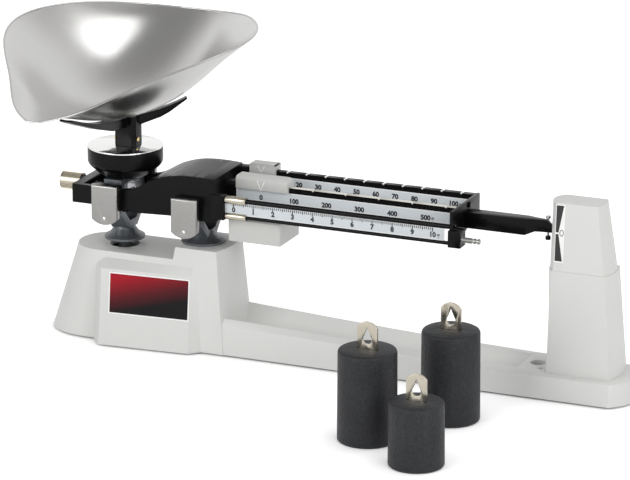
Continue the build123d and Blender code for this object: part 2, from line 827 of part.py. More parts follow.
def beam_casting():
    """The black casting: open frame round the pan's neck and hood over the fulcrum."""
    face = Pos(0, -beam_half_width, 0) * hood_profile()
    body = extrude(face, amount=2 * beam_half_width, dir=(0, 1, 0))
    inner_y = beam_half_width - beam_wall
    roof = [(x, z - beam_wall - 0.6) for x, z in reversed(hood_line[2:-1])]
    body -= prism_y([(frame_left_x, beam_low_z - 5), (beam_right - beam_wall, beam_low_z - 5),
                     (beam_right - beam_wall, roof[0][1] - 0.4)] + roof
                    + [(frame_right_x, beam_top_z - 1), (frame_right_x, hood_high_z),
                       (frame_left_x, hood_high_z)],
                    -inner_y, inner_y)
    for side in (-1, 1):
        for x, top_z in ((0, load_cover_top_z), (fulcrum_x, fulcrum_cover_top_z)):
            y0, y1 = sorted((side * (beam_half_width - 1), side * (beam_half_width + boss_depth)))
            body += box(x - boss_half_width, x + boss_half_width, y0, y1, beam_low_z,
                        top_z - cover_sheet - fit_gap)
        for x, point in ((0, 1), (fulcrum_x, -1)):
            y0, y1 = sorted((side * inner_y, side * (beam_half_width + 2)))
            body -= rod_y(x, y0, y1, knife_z - point * knife_height * 0.55, knife_root_radius + fit_gap)
    for y, low, high, length in ((front_y, lower_rod_z - 3, upper_rod_z + 3, bar_boss_length + 2),
                                 (middle_y, middle_bar_top_z - bar_height - middle_plate_height,
                                  middle_bar_top_z + 1, bar_boss_length),
                                 (rear_y, rear_bar_top_z - bar_height - rear_plate_height,
                                  rear_bar_top_z + 1, bar_boss_length)):
        body += box(beam_right - 1, beam_right + length, y - bar_boss_half_width, y + bar_boss_half_width,
                    low, high)
    body -= rod_x(beam_left - 1, frame_left_x + 1, 0, zero_z, zero_screw_radius + fit_gap)
    return body


def bearing_cover(x, top_z, side):
    """A folded nickel-plated cap over one bearing boss."""
    face_y = beam_half_width + boss_depth
    low = top_z - cover_drop
    inner = boss_half_width + fit_gap
    outer = inner + cover_sheet
    shell = box(x - outer, x + outer, face_y - cover_flange, face_y + cover_sheet, low, top_z)
    front = shell.faces().sort_by(Axis.Y)[-1].edges()
    shell = fillet(front.filter_by(Axis.Z) + front.sort_by(Axis.Z)[-1:], cover_bend)
    shell -= box(x - inner, x + inner, face_y - cover_flange, face_y, low, top_z - cover_sheet)
    lower_edge = ThreePointArc((x - outer, 0, low + cover_arc), (x, 0, low), (x + outer, 0, low + cover_arc))
    sides = Polyline([(x + outer, 0, low + cover_arc), (x + outer, 0, top_z), (x - outer, 0, top_z),
                      (x - outer, 0, low + cover_arc)])
    shell &= extrude(make_face(lower_edge + sides), amount=2 * beam_half_width, dir=(0, 1, 0))
    shell -= rod_y(x, face_y - 1, face_y + 2, low + 5, cover_hole_radius)
    if side < 0:
        shell = mirror(shell, about=Plane.XZ)
    return shell


def notched_bar(y, top_z, first_x, pitch, steps):
    """A square bar with a V notch at each full step of its scale."""
    bar = box(beam_right + bar_boss_length, bracket_x, y - bar_width / 2, y + bar_width / 2,
              top_z - bar_height, top_z)
    for step in range(steps + 1):
        x = first_x + step * pitch
        if x < bracket_x - notch_depth:
            bar -= prism_y([(x, top_z - notch_depth), (x + notch_depth, top_z), (x - notch_depth, top_z)],
                           y - bar_width, y + bar_width)
    return bar


def scale_plate(y_front, top_z, height):
    """A scale strip that hangs under its bar."""
    return box(scale_left, scale_right, y_front, y_front + plate_thickness, top_z - height, top_z)


def front_scale_plate():
    """The 10 g strip, held between the two front rods."""
    top_z = upper_rod_z - upper_rod_radius
    low_z = lower_rod_z + lower_rod_radius
    left = beam_right + bar_boss_length + 2
    return box(left, scale_right, front_y - plate_thickness / 2, front_y + plate_thickness / 2, low_z, top_z)


def end_bracket():
    """The cross plate at the beam's right end, with the boss for the hanger pin."""
    low = hanger_pin_z - 5.3
    plate = prism_x([(-bracket_half_width, low), (-bracket_half_width, bracket_top_z),
                     (bracket_half_width, bracket_top_z), (bracket_half_width, bracket_top_z - 13.5),
                     (12, bracket_top_z - 16), (-12, low)], bracket_x, bracket_x + bracket_thickness)
    boss = box(bracket_x, hanger_boss_right, hanger_y - 5.3, hanger_y + 5.3, low, hanger_pin_z + 7)
    return plate + boss - rod_x(bracket_x + 3, hanger_boss_right + 1, hanger_y, hanger_pin_z,
                                hanger_root_radius + fit_gap)


def hanger_pin():
    """The grooved pin that the attachment weights hang on."""
    left = bracket_x + 3
    right = hanger_boss_right + hanger_pin_length
    pin = rod_x(left, right, hanger_y, hanger_pin_z, hanger_pin_radius)
    pin += rod_x(left, hanger_boss_right, hanger_y, hanger_pin_z, hanger_root_radius)
    for x in (right - 2.2, right - 5.2):
        ring = rod_x(x - 0.7, x + 0.7, hanger_y, hanger_pin_z, hanger_pin_radius + 1)
        pin -= ring - rod_x(x - 0.7, x + 0.7, hanger_y, hanger_pin_z, hanger_pin_radius - 0.6)
    return pin


def bracket_screws():
    """Screw heads that hold the middle bar and the upper rod to the bracket."""
    right = bracket_x + bracket_thickness
    over_arm_z = arm_high_z + bracket_screw_radius + bracket_screw_gap
    places = ((arm_half_width, over_arm_z), (front_y, upper_rod_z + upper_rod_radius + bracket_screw_gap))
    return [rod_x(right, right + bracket_screw_head, y, z, bracket_screw_radius) for y, z in places]


def pointer_arm():
    """The arm from the bracket to the post, drawn in to a thin tip."""
    left = bracket_x + bracket_thickness
    side = prism_y([(left, arm_low_z), (arm_taper_x, arm_low_z), (arm_taper_x + 7, arm_tip_low_z),
                    (arm_tip_x, arm_tip_low_z), (arm_tip_x, arm_tip_high_z), (arm_step_x, arm_tip_high_z),
                    (arm_step_x - 2.5, arm_high_z), (left, arm_high_z)], -arm_half_width, arm_half_width)
    for sign in (-1, 1):
        flute = ThreePointArc((arm_taper_x, sign * arm_half_width, 0),
                              ((arm_taper_x + arm_tip_x) / 2, sign * arm_tip_half_width * 1.35, 0),
                              (arm_tip_x, sign * arm_tip_half_width, 0))
        outside_y = sign * (arm_half_width + 1)
        edge = Polyline([(arm_tip_x, sign * arm_tip_half_width, 0), (arm_tip_x + 1, outside_y, 0),
                         (arm_taper_x, outside_y, 0), (arm_taper_x, sign * arm_half_width, 0)])
        side -= Pos(0, 0, arm_low_z - 2) * extrude(make_face(flute + edge), amount=arm_high_z - arm_low_z + 4,
                                                   dir=(0, 0, 1))
    return side - rod_z(trim_screw_x, 0, arm_low_z, arm_high_z, trim_screw_radius + fit_gap)


def damper_vane():
    """The thin aluminium blade that moves between the magnets."""
    middle = (arm_tip_low_z + arm_tip_high_z) / 2
    return box(arm_tip_x, vane_right_x, -vane_half_thickness, vane_half_thickness, middle - vane_half_height,
               middle + vane_half_height)


def trim_screw():
    """The small upright screw through the pointer's tip."""
    stem = rod_z(trim_screw_x, 0, trim_low_z, trim_high_z, trim_screw_radius)
    return stem + rod_z(trim_screw_x, 0, trim_high_z - 0.1, trim_high_z + 1.6, 1.7)


def trim_nut():
    """The nut under the pointer's tip."""
    nut = rod_z(trim_screw_x, 0, trim_low_z + 0.4, trim_low_z + 3, 1.9)
    return nut - rod_z(trim_screw_x, 0, trim_low_z, trim_low_z + 4, trim_screw_radius + fit_gap)


def zero_screw():
    """The thread that carries the zero knob."""
    return rod_x(zero_knob_left + 1, frame_left_x, 0, zero_z, zero_screw_radius)


def zero_bush():
    """The threaded bush inside the knob."""
    left = zero_knob_left + 2
    right = zero_knob_left + zero_knob_length
    bush = rod_x(left, right, 0, zero_z, zero_bush_radius)
    return bush - rod_x(left, right, 0, zero_z, zero_screw_radius + fit_gap)


def zero_knob():
    """The knurled knob that turns on the bush."""
    right = zero_knob_left + zero_knob_length
    knob = rod_x(zero_knob_left, right, 0, zero_z, zero_knob_radius)
    ends = knob.edges().filter_by(GeomType.CIRCLE)
    knob = chamfer(ends, 0.7)
    return knob - rod_x(zero_knob_left + 2, right, 0, zero_z, zero_bush_radius + fit_gap) - rod_x(
        zero_knob_left, right, 0, zero_z, zero_screw_radius + 0.3)


def capped_poise(x0, length, y, bar_top_z, cap, block):
    """A poise that rides astride its bar, with a weight hung behind and below the scale."""
    x1 = x0 + length
    overhang, height = cap
    low = bar_top_z - overhang
    bar_side = bar_width / 2 + poise_gap
    body = box(x0, x1, y - cap_depth / 2, y + cap_depth / 2, low, low + height)
    body = fillet(body.faces().sort_by(Axis.Z)[-1].edges(), poise_round)
    body -= box(x0, x1, y - bar_side, y + bar_side, low, bar_top_z + poise_gap)
    front, back, block_low, block_high = block
    web = box(x0, x1, y + bar_side, y + cap_depth / 2, block_high - 1, low + 1)
    lump = box(x0, x1, front, back, block_low, block_high)
    lump = fillet(lump.edges().filter_by(Axis.Z), poise_round)
    return body + web + lump


def rider():
    """The nickel rider of the front scale: two sleeves, a strap behind and a pointer."""
    x0 = front_zero_x - rider_left
    x1 = x0 + rider_length
    upper = upper_rod_radius + poise_gap
    lower = lower_rod_radius + poise_gap
    body = rod_x(x0, x1, front_y, upper_rod_z, upper + rider_wall)
    body += rod_x(x0, x1, front_y, lower_rod_z, lower + rider_wall)
    strap_y = front_y + plate_thickness / 2 + 0.5
    body += box(x0, x1, strap_y, strap_y + 0.8, lower_rod_z, upper_rod_z)
    body -= rod_x(x0, x1, front_y, upper_rod_z, upper)
    body -= rod_x(x0, x1, front_y, lower_rod_z, lower)
    slot = plate_thickness / 2 + poise_gap
    body -= box(x0, x1, front_y - slot, front_y + slot, lower_rod_z, upper_rod_z)
    tip_z = upper_rod_z - upper - rider_wall
    nib_y = front_y - plate_thickness / 2 - 0.3
    return body + prism_y([(front_zero_x - 1.6, tip_z + 1.2), (front_zero_x, tip_z - 1.6),
                           (front_zero_x + 1.6, tip_z + 1.2)], nib_y - 0.6, nib_y)


def scoop_section(station, lift):
    """Points of one cross-section of the scoop from its right rim to its left, raised by lift."""
    share, half_width, rim, keel = station
    y = scoop_back_y - share * scoop_length
    right = [(scoop_x + half_width * out, y, keel + lift + (rim - keel) * rise)
             for out, rise in reversed(scoop_wall)]
    left = [(2 * scoop_x - x, y, z) for x, y, z in reversed(right)]
    return right + [(scoop_x, y, keel + lift)] + left


def scoop_solid(lift):
    """The space above the scoop's underside, raised by lift, to cut from what carries it."""
    faces = []
    for station in scoop_stations[2:-2]:
        points = scoop_section(station, lift)
        top = scoop_stations[4][2] + scoop_sheet
        lid = Polyline([points[-1], (points[-1][0], points[-1][1], top), (points[0][0], points[0][1], top),
                        points[0]])
        faces.append(make_face(Spline(points) + lid))
    return loft(faces)


def scoop():
    """The stainless scoop, pressed from one sheet."""
    faces = []
    for station in scoop_stations:
        outer = scoop_section(station, 0)
        inner = scoop_section(station, scoop_sheet)[::-1]
        faces.append(make_face(Spline(outer) + Line(outer[-1], inner[0]) + Spline(inner)
                               + Line(inner[-1], outer[0])))
    return loft(faces)


def cradle_arm(angle, low_edge, high_edge):
    """One arm of the cradle, between its lower and upper edges."""
    arm = prism_y(low_edge + high_edge[::-1], -cradle_arm_width / 2, cradle_arm_width / 2)
    return Rot(0, 0, angle) * arm


def cradle():
    """The black three-armed cradle, shaped on top to the scoop it carries."""
    low = disc_top_z + cradle_gap
    hub = box(-cradle_hub_left, cradle_hub_right, -cradle_half_y, cradle_half_y, low, cradle_blank_z)
    hub = fillet(hub.edges().filter_by(Axis.Z), 3)
    body = hub + cradle_arm(-90, front_arm_low, front_arm_high)
    for angle in (30, 150):
        body += cradle_arm(angle, side_arm_low, side_arm_high)
    body = Pos(scoop_x, 0, 0) * body - scoop_solid(-cradle_gap)
    body -= rod_z(scoop_x, 0, low, low + seat_pin_height + 0.5, seat_pin_radius + 0.2)
    return body


def cradle_screws():
    """The small brass screw on each side face of the hub."""
    left = scoop_x - cradle_hub_left
    right = scoop_x + cradle_hub_right
    return [rod_x(x0, x0 + cradle_screw_head, cradle_screw_y, cradle_screw_z, cradle_screw_radius)
            for x0 in (left - cradle_screw_head, right)]


def weight_body(x, y, radius, height):
    """A hollow cast weight with a slot in its top for the strip."""
    shell = turned([(0, height), (radius - 2.2, height), (radius - 0.9, height - 0.7),
                    (radius - 0.4, height - 2.2), (radius, 1.2), (radius - 1.2, 0), (0, 0)], x, y)
    shell -= rod_z(x, y, 0, height - weight_roof, radius - weight_wall)
    return shell - box(x - strip_width / 2, x + strip_width / 2, y - strip_thickness / 2,
                       y + strip_thickness / 2, height - strip_root, height)


def weight_plug(x, y, radius):
    """The disc that closes the hollow underneath."""
    return rod_z(x, y, plug_recess, plug_recess + plug_thickness, radius - weight_wall)


def weight_strip(x, y, height):
    """The nickel strip that hooks over the hanger pin."""
    top = height + strip_rise
    half = strip_width / 2
    arc = ThreePointArc((half, 0, top - 4), (0, 0, top), (-half, 0, top - 4))
    sides = Polyline([(-half, 0, top - 4), (-half, 0, height - strip_root), (half, 0, height - strip_root),
                      (half, 0, top - 4)])
    blank = extrude(make_face(arc + sides), amount=strip_thickness, dir=(0, 1, 0))
    hole_z = height + strip_hole_rise
    cut = rod_y(0, -1, strip_thickness + 1, hole_z, strip_hole_radius)
    cut += prism_y([(-strip_hole_radius * 0.9, hole_z + 1), (strip_hole_radius * 0.9, hole_z + 1),
                    (0, top - strip_notch_top)], -1, strip_thickness + 1)
    return Pos(x, y - strip_thickness / 2, 0) * (blank - cut)


def build_base():
    """Everything that stands still on the table."""
    pieces["base_casting"] = base_casting()
    pieces["bottom_plate"] = bottom_plate()
    pieces["rubber_feet"] = rubber_feet()
    pieces["label_plate"] = label_plate()
    pieces["damper_post"] = damper_post()
    pieces["post_screws"] = post_screws()
    pieces["zero_plate"] = zero_plate()
    pieces["magnet_bracket"] = magnet_bracket()
    pieces["damper_magnets"] = damper_magnets()
    pieces["fulcrum_yoke"] = fulcrum_yoke()
    pieces["fulcrum_screw"] = fulcrum_screw()
    pieces["fulcrum_bearings"] = bearing_pair(fulcrum_x, bearing_seat_z, knife_z + bearing_lip,
                                              knife_z - knife_gap, vee_depth)
    pieces["check_bracket"] = check_bracket()
    pieces["check_link_pin"] = cross_pin(fulcrum_x)


def build_beam():
    """Everything fixed to the rocking beam."""
    pieces["beam_casting"] = beam_casting()
    pieces["load_knives"] = knife_pair(0, 1)
    pieces["fulcrum_knives"] = knife_pair(fulcrum_x, -1)
    for name, side in (("front", -1), ("rear", 1)):
        pieces["load_cover_" + name] = bearing_cover(0, load_cover_top_z, side)
        pieces["fulcrum_cover_" + name] = bearing_cover(fulcrum_x, fulcrum_cover_top_z, side)
    pieces["rear_bar"] = notched_bar(rear_y, rear_bar_top_z, rear_zero_x + rear_notch_offset, rear_pitch,
                                     rear_steps)
    pieces["middle_bar"] = notched_bar(middle_y, middle_bar_top_z, middle_zero_x + middle_notch_offset,
                                       middle_pitch, middle_steps)
    rod_left = beam_right + bar_boss_length + 2
    pieces["front_upper_rod"] = rod_x(rod_left, bracket_x, front_y, upper_rod_z, upper_rod_radius)
    pieces["front_lower_rod"] = rod_x(rod_left, bracket_x, front_y, lower_rod_z, lower_rod_radius)
    pieces["rear_scale_plate"] = scale_plate(rear_y - bar_width / 2, rear_bar_top_z - bar_height,
                                             rear_plate_height)
    pieces["middle_scale_plate"] = scale_plate(middle_y - bar_width / 2, middle_bar_top_z - bar_height,
                                               middle_plate_height)
    pieces["front_scale_plate"] = front_scale_plate()
    pieces["end_bracket"] = end_bracket()
    pieces["bracket_screws"] = bracket_screws()
    pieces["hanger_pin"] = hanger_pin()
    pieces["pointer_arm"] = pointer_arm()
    pieces["damper_vane"] = damper_vane()
    pieces["trim_screw"] = trim_screw()
    pieces["trim_nut"] = trim_nut()
    pieces["zero_screw"] = zero_screw()
    pieces["zero_bush"] = zero_bush()
    pieces["zero_knob"] = zero_knob()


def build_poises():
    """The three pieces that slide on the beam."""
    rear_block = (rear_y - rear_block_front, rear_y + rear_block_back, rear_block_low_z, rear_block_high_z)
    pieces["rear_poise"] = capped_poise(rear_zero_x - rear_poise_left, rear_poise_length, rear_y,
                                        rear_bar_top_z, (rear_cap_overhang, rear_cap_height), rear_block)
    middle_block = (-middle_block_front, middle_block_back, middle_block_low_z, middle_block_high_z)
    pieces["middle_poise"] = capped_poise(middle_zero_x - middle_poise_left, middle_poise_length, middle_y,
                                          middle_bar_top_z, (cap_overhang, cap_height), middle_block)
    pieces["front_rider"] = rider()


def build_pan():
    """What hangs on the load knives."""
    pieces["pan_yoke"] = pan_yoke()
    pieces["load_bearings"] = bearing_pair(0, knife_z - bearing_lip, window_high_z, knife_z + knife_gap,
                                           -vee_depth)
    pieces["pan_bowl"] = pan_bowl()
    pieces["pan_disc"] = pan_disc()
    pieces["stem_pin"] = cross_pin(0)
    pieces["check_link"] = check_link()
    pieces["cradle"] = cradle()
    pieces["cradle_screws"] = cradle_screws()
    pieces["scoop"] = scoop()


def build_weights():
    """The three attachment weights with their strips and plugs."""
    for name, (x, y, radius, height) in weight_places.items():
        pieces[name] = weight_body(x, y, radius, height)
        pieces[name + "_plug"] = weight_plug(x, y, radius)
        pieces[name + "_strip"] = weight_strip(x, y, height)


def write_parts():
    """Each piece, or group of like pieces, goes to its own file."""
    os.makedirs("parts", exist_ok=True)
    origin_x = (base_length_right + pieces["scoop"].bounding_box().min.X) / 2
    move = Pos(-origin_x, -origin_y, 0)
    for name, piece in pieces.items():
        if isinstance(piece, list):
            shape = Compound(children=[move * solid for solid in piece])
        else:
            shape = move * piece
        export_step(shape, "parts/" + name + ".step")


build_base()
build_beam()
build_poises()
build_pan()
build_weights()
write_parts()
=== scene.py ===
import json
from math import atan2, cos, hypot, pi, radians, sin

import bpy
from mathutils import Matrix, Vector

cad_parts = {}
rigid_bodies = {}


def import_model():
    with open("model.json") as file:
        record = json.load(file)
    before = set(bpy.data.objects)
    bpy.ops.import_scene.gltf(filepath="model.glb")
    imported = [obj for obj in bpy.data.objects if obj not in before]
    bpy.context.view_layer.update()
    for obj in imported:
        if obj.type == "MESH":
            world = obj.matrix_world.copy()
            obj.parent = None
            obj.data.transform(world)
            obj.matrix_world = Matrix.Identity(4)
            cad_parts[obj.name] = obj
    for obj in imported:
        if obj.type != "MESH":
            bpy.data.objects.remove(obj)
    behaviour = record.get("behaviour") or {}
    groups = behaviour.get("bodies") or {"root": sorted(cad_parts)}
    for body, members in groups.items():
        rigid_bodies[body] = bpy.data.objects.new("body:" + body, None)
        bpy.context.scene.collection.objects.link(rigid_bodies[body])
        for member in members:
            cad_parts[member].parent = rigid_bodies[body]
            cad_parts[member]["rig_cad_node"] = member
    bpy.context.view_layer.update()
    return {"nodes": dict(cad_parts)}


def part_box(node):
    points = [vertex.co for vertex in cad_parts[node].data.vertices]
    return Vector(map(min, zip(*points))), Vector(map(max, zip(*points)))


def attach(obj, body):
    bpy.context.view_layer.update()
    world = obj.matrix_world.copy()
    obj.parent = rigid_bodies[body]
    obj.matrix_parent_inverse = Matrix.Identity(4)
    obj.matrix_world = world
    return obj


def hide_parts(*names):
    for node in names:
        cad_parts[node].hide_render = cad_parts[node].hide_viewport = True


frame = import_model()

bl_info = {
    "name": "Triple beam balance",
    "version": (1, 0, 0),
    "blender": (4, 5, 0),
    "location": "3D View > Sidebar > Balance",
    "description": "Dresses a packed triple beam balance: castings, beam, scales, scoop, weights and studio",
    "category": "Object",
}

# Places are given in millimetres: x from the pan's axis, y from the beam's centre plane, z from the table.
mm = 0.001
knives_low, knives_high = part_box("load_knives")
pan_axis = Vector(((knives_low.x + knives_high.x) / 2, (knives_low.y + knives_high.y) / 2, 0))


def at(x, y, z):
    """A place in the frame, from millimetres."""
    return pan_axis + Vector((x, y, z)) * mm


def span(node):
    """A CAD node's lowest and highest corners in millimetres."""
    low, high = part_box(node)
    return (low - pan_axis) / mm, (high - pan_axis) / mm


# Making and shaping meshes

def only(*objs):
    """Selects these objects and nothing else."""
    if bpy.context.object and bpy.context.object.mode != "OBJECT":
        bpy.ops.object.mode_set(mode="OBJECT")
    bpy.ops.object.select_all(action="DESELECT")
    for obj in objs:
        obj.select_set(True)
        bpy.context.view_layer.objects.active = obj


def smooth_line(points, count, passes=0):
    """Evenly spaced places on a smooth line through points, eased over their neighbours by each pass."""
    last = len(points) - 1
    knots = [0.0]
    for a, b in zip(points, points[1:]):
        knots.append(knots[-1] + (b - a).length)
    slopes = []
    for i in range(last + 1):
        a, b = max(i - 1, 0), min(i + 1, last)
        slopes.append((points[b] - points[a]) / (knots[b] - knots[a]))
    line = []
    for step in range(count + 1):
        way = knots[-1] * step / count
        i = max(j for j in range(last) if knots[j] <= way + 1e-9)
        run = knots[i + 1] - knots[i]
        u = (way - knots[i]) / run
        line.append(points[i] * (2 * u**3 - 3 * u**2 + 1) + points[i + 1] * (3 * u**2 - 2 * u**3)
                    + (slopes[i] * (u**3 - 2 * u**2 + u) + slopes[i + 1] * (u**3 - u**2)) * run)
    for turn in range(passes):
        line = ([line[0]] + [(a + b * 2 + c) / 4 for a, b, c in zip(line, line[1:], line[2:])] + [line[-1]])
    return line


def settle(obj, name=None):
    """Moves the object's place and turn into its mesh."""
    only(obj)
    bpy.ops.object.transform_apply(location=True, rotation=True, scale=True)
    if name:
        obj.name = name
        obj.data.name = name
    return obj


def block(name, low, high):
    """A block between two corners."""
    only()
    middle = [(a + b) / 2 for a, b in zip(low, high)]
    size = [abs(b - a) * mm for a, b in zip(low, high)]
    bpy.ops.mesh.primitive_cube_add(size=1, location=at(*middle), scale=size)
    return settle(bpy.context.object, name)


def rod(name, start, end, radius, sides=32, end_radius=None):
    """A round bar, or a tapered one, between two places."""
    only()
    a, b = at(*start), at(*end)
    way = b - a
    turn = way.to_track_quat("Z", "Y").to_euler()
    tip = radius if end_radius is None else end_radius
    bpy.ops.mesh.primitive_cone_add(vertices=sides, radius1=radius * mm, radius2=tip * mm,
                                    depth=way.length, location=(a + b) / 2, rotation=turn)
    return settle(bpy.context.object, name)


def pick(obj, faces=None, edges=None):
    """Selects faces by a test on middle and normal, or edges by a test on their two ends, in millimetres."""
    only(obj)
    bpy.ops.object.mode_set(mode="EDIT")
    bpy.ops.mesh.select_mode(type="FACE" if faces else "EDGE")
    bpy.ops.mesh.select_all(action="DESELECT")
    bpy.ops.object.mode_set(mode="OBJECT")
    mesh = obj.data
    count = 0
    if faces:
        for face in mesh.polygons:
            face.select = bool(faces((face.center - pan_axis) / mm, face.normal))
            count += face.select
    else:
        for edge in mesh.edges:
            ends = [(mesh.vertices[i].co - pan_axis) / mm for i in edge.vertices]
            edge.select = bool(edges(*ends))
            count += edge.select
    bpy.ops.object.mode_set(mode="EDIT")
    if not count:
        raise RuntimeError("nothing was selected on " + obj.name)
    return count


def done(obj):
    """Back to object mode."""
    bpy.ops.object.mode_set(mode="OBJECT")
    return obj


def modify(obj, kind, **settings):
    """Adds a modifier and applies it."""
    only(obj)
    change = obj.modifiers.new(kind.title(), kind)
    for key, value in settings.items():
        setattr(change, key, value)
    bpy.ops.object.modifier_apply(modifier=change.name)
    return obj


def smooth(obj, angle=32):
    """Smooth shading, with edges sharper than the angle kept."""
    only(obj)
    bpy.ops.object.shade_smooth_by_angle(angle=radians(angle))
    return obj


def soften(obj, width, segments=3, angle=34):
    """Rounds the piece's edges."""
    modify(obj, "BEVEL", width=width * mm, segments=segments, limit_method="ANGLE",
           angle_limit=radians(angle), use_clamp_overlap=True, harden_normals=False)
    return smooth(obj, 40)


def join(name, *objs):
    """Several meshes as one."""
    only(*objs)
    if len(objs) > 1:
        bpy.ops.object.join()
    obj = bpy.context.view_layer.objects.active
    obj.name = name
    obj.data.name = name
    return obj


def copy_node(node, name):
    """A merged copy of a CAD node, to be finished further."""
    source = frame["nodes"][node]
    only(source)
    bpy.ops.object.duplicate()
    obj = bpy.context.object
    del obj["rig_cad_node"]
    obj.name = name
    obj.data.name = name
    bpy.ops.object.mode_set(mode="EDIT")
    bpy.ops.mesh.select_all(action="SELECT")
    bpy.ops.mesh.remove_doubles(threshold=2e-6)
    bpy.ops.mesh.dissolve_limited(angle_limit=radians(0.4))
    bpy.ops.object.mode_set(mode="OBJECT")
    bpy.ops.object.material_slot_remove_unused()
    return obj


def dress(obj, finish, body, slot, *nodes):
    """Gives a piece its finish and its body, and hides the CAD nodes it stands for; the slot is not used."""
    obj.data.materials.clear()
    obj.data.materials.append(finish)
    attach(obj, body)
    if nodes:
        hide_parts(*nodes)
    return obj


def second_finish(obj, finish, test):
    """Another finish on the faces that pass a test on middle and normal."""
    obj.data.materials.append(finish)
    index = len(obj.data.materials) - 1
    for face in obj.data.polygons:
        if test((face.center - pan_axis) / mm, face.normal):
            face.material_index = index


def rounded_node(node, name, finish, body, slot, width, segments=2):
    """A CAD node's copy with rounded edges."""
    obj = copy_node(node, name)
    if width:
        soften(obj, width, segments)
    else:
        smooth(obj)
    return dress(obj, finish, body, slot, node)


# Materials

def group(name, inputs, outputs):
    """An empty node group with named inputs and outputs."""
    tree = bpy.data.node_groups.new(name, "ShaderNodeTree")
    for label, kind, default in inputs:
        entry = tree.interface.new_socket(name=label, in_out="INPUT", socket_type=kind)
        entry.default_value = default
    for label, kind in outputs:
        tree.interface.new_socket(name=label, in_out="OUTPUT", socket_type=kind)
    return tree, tree.nodes.new("NodeGroupInput"), tree.nodes.new("NodeGroupOutput")


def add(tree, kind, **settings):
    """A node with some of its settings or inputs given."""
    node = tree.nodes.new(kind)
    for key, value in settings.items():
        if hasattr(node, key):
            setattr(node, key, value)
        else:
            node.inputs[key.replace("_", " ")].default_value = value
    return node


def grain_group():
    """Fine raised grain, as the normal of a surface."""
    if "Fine grain" in bpy.data.node_groups:
        return bpy.data.node_groups["Fine grain"]
    tree, start, end = group("Fine grain", [("Grain per metre", "NodeSocketFloat", 900.0),
                                            ("Stretch", "NodeSocketVector", (1, 1, 1)),
                                            ("Detail", "NodeSocketFloat", 2.0),
                                            ("Strength", "NodeSocketFloat", 0.2),
                                            ("Depth", "NodeSocketFloat", 0.0002)],
                             [("Normal", "NodeSocketVector"), ("Height", "NodeSocketFloat")])
    places = add(tree, "ShaderNodeTexCoord")
    stretch = add(tree, "ShaderNodeVectorMath", operation="MULTIPLY")
    noise = add(tree, "ShaderNodeTexNoise")
    bump = add(tree, "ShaderNodeBump")
    link = tree.links.new
    link(places.outputs["Object"], stretch.inputs[0])
    link(start.outputs["Stretch"], stretch.inputs[1])
    link(stretch.outputs[0], noise.inputs["Vector"])
    link(start.outputs["Grain per metre"], noise.inputs["Scale"])
    link(start.outputs["Detail"], noise.inputs["Detail"])
    link(start.outputs["Strength"], bump.inputs["Strength"])
    link(start.outputs["Depth"], bump.inputs["Distance"])
    link(noise.outputs["Fac"], bump.inputs["Height"])
    link(bump.outputs["Normal"], end.inputs["Normal"])
    link(noise.outputs["Fac"], end.inputs["Height"])
    return tree


def tone_group():
    """A colour that wanders a little over the piece, with a broad and a fine patch size."""
    if "Uneven tone" in bpy.data.node_groups:
        return bpy.data.node_groups["Uneven tone"]
    tree, start, end = group("Uneven tone", [("Colour", "NodeSocketColor", (0.5, 0.5, 0.5, 1)),
                                             ("Patches per metre", "NodeSocketFloat", 30.0),
                                             ("Specks per metre", "NodeSocketFloat", 1500.0),
                                             ("Amount", "NodeSocketFloat", 0.04)],
                             [("Colour", "NodeSocketColor")])
    places = add(tree, "ShaderNodeTexCoord")
    broad = add(tree, "ShaderNodeTexNoise", Detail=3.0)
    fine = add(tree, "ShaderNodeTexNoise", Detail=1.0)
    blend = add(tree, "ShaderNodeMath", operation="ADD")
    centre = add(tree, "ShaderNodeMath", operation="SUBTRACT")
    centre.inputs[1].default_value = 1.0
    scale = add(tree, "ShaderNodeMath", operation="MULTIPLY_ADD")
    scale.inputs[2].default_value = 1.0
    shade = add(tree, "ShaderNodeHueSaturation")
    link = tree.links.new
    for noise, name in ((broad, "Patches per metre"), (fine, "Specks per metre")):
        link(places.outputs["Object"], noise.inputs["Vector"])
        link(start.outputs[name], noise.inputs["Scale"])
    link(broad.outputs["Fac"], blend.inputs[0])
    link(fine.outputs["Fac"], blend.inputs[1])
    link(blend.outputs[0], centre.inputs[0])
    link(centre.outputs[0], scale.inputs[0])
    link(start.outputs["Amount"], scale.inputs[1])
    link(scale.outputs[0], shade.inputs["Value"])
    link(start.outputs["Colour"], shade.inputs["Color"])
    link(shade.outputs["Color"], end.inputs["Colour"])
    return tree


def handling_group():
    """A roughness that differs where hands and cloths have rubbed."""
    if "Handling marks" in bpy.data.node_groups:
        return bpy.data.node_groups["Handling marks"]
    tree, start, end = group("Handling marks", [("Roughness", "NodeSocketFloat", 0.4),
                                                ("Spread", "NodeSocketFloat", 0.1),
                                                ("Marks per metre", "NodeSocketFloat", 60.0)],
                             [("Roughness", "NodeSocketFloat")])
    places = add(tree, "ShaderNodeTexCoord")
    noise = add(tree, "ShaderNodeTexNoise", Detail=4.0, Distortion=0.6)
    centre = add(tree, "ShaderNodeMath", operation="SUBTRACT")
    centre.inputs[1].default_value = 0.5
    scale = add(tree, "ShaderNodeMath", operation="MULTIPLY_ADD")
    link = tree.links.new
    link(places.outputs["Object"], noise.inputs["Vector"])
    link(start.outputs["Marks per metre"], noise.inputs["Scale"])
    link(noise.outputs["Fac"], centre.inputs[0])
    link(centre.outputs[0], scale.inputs[0])
    link(start.outputs["Spread"], scale.inputs[1])
    link(start.outputs["Roughness"], scale.inputs[2])
    link(scale.outputs[0], end.inputs["Roughness"])
    return tree


def use_group(tree, which, **values):
    """A group's node with its named inputs set."""
    node = tree.nodes.new("ShaderNodeGroup")
    node.node_tree = which
    for key, value in values.items():
        node.inputs[key.replace("_", " ")].default_value = value
    return node


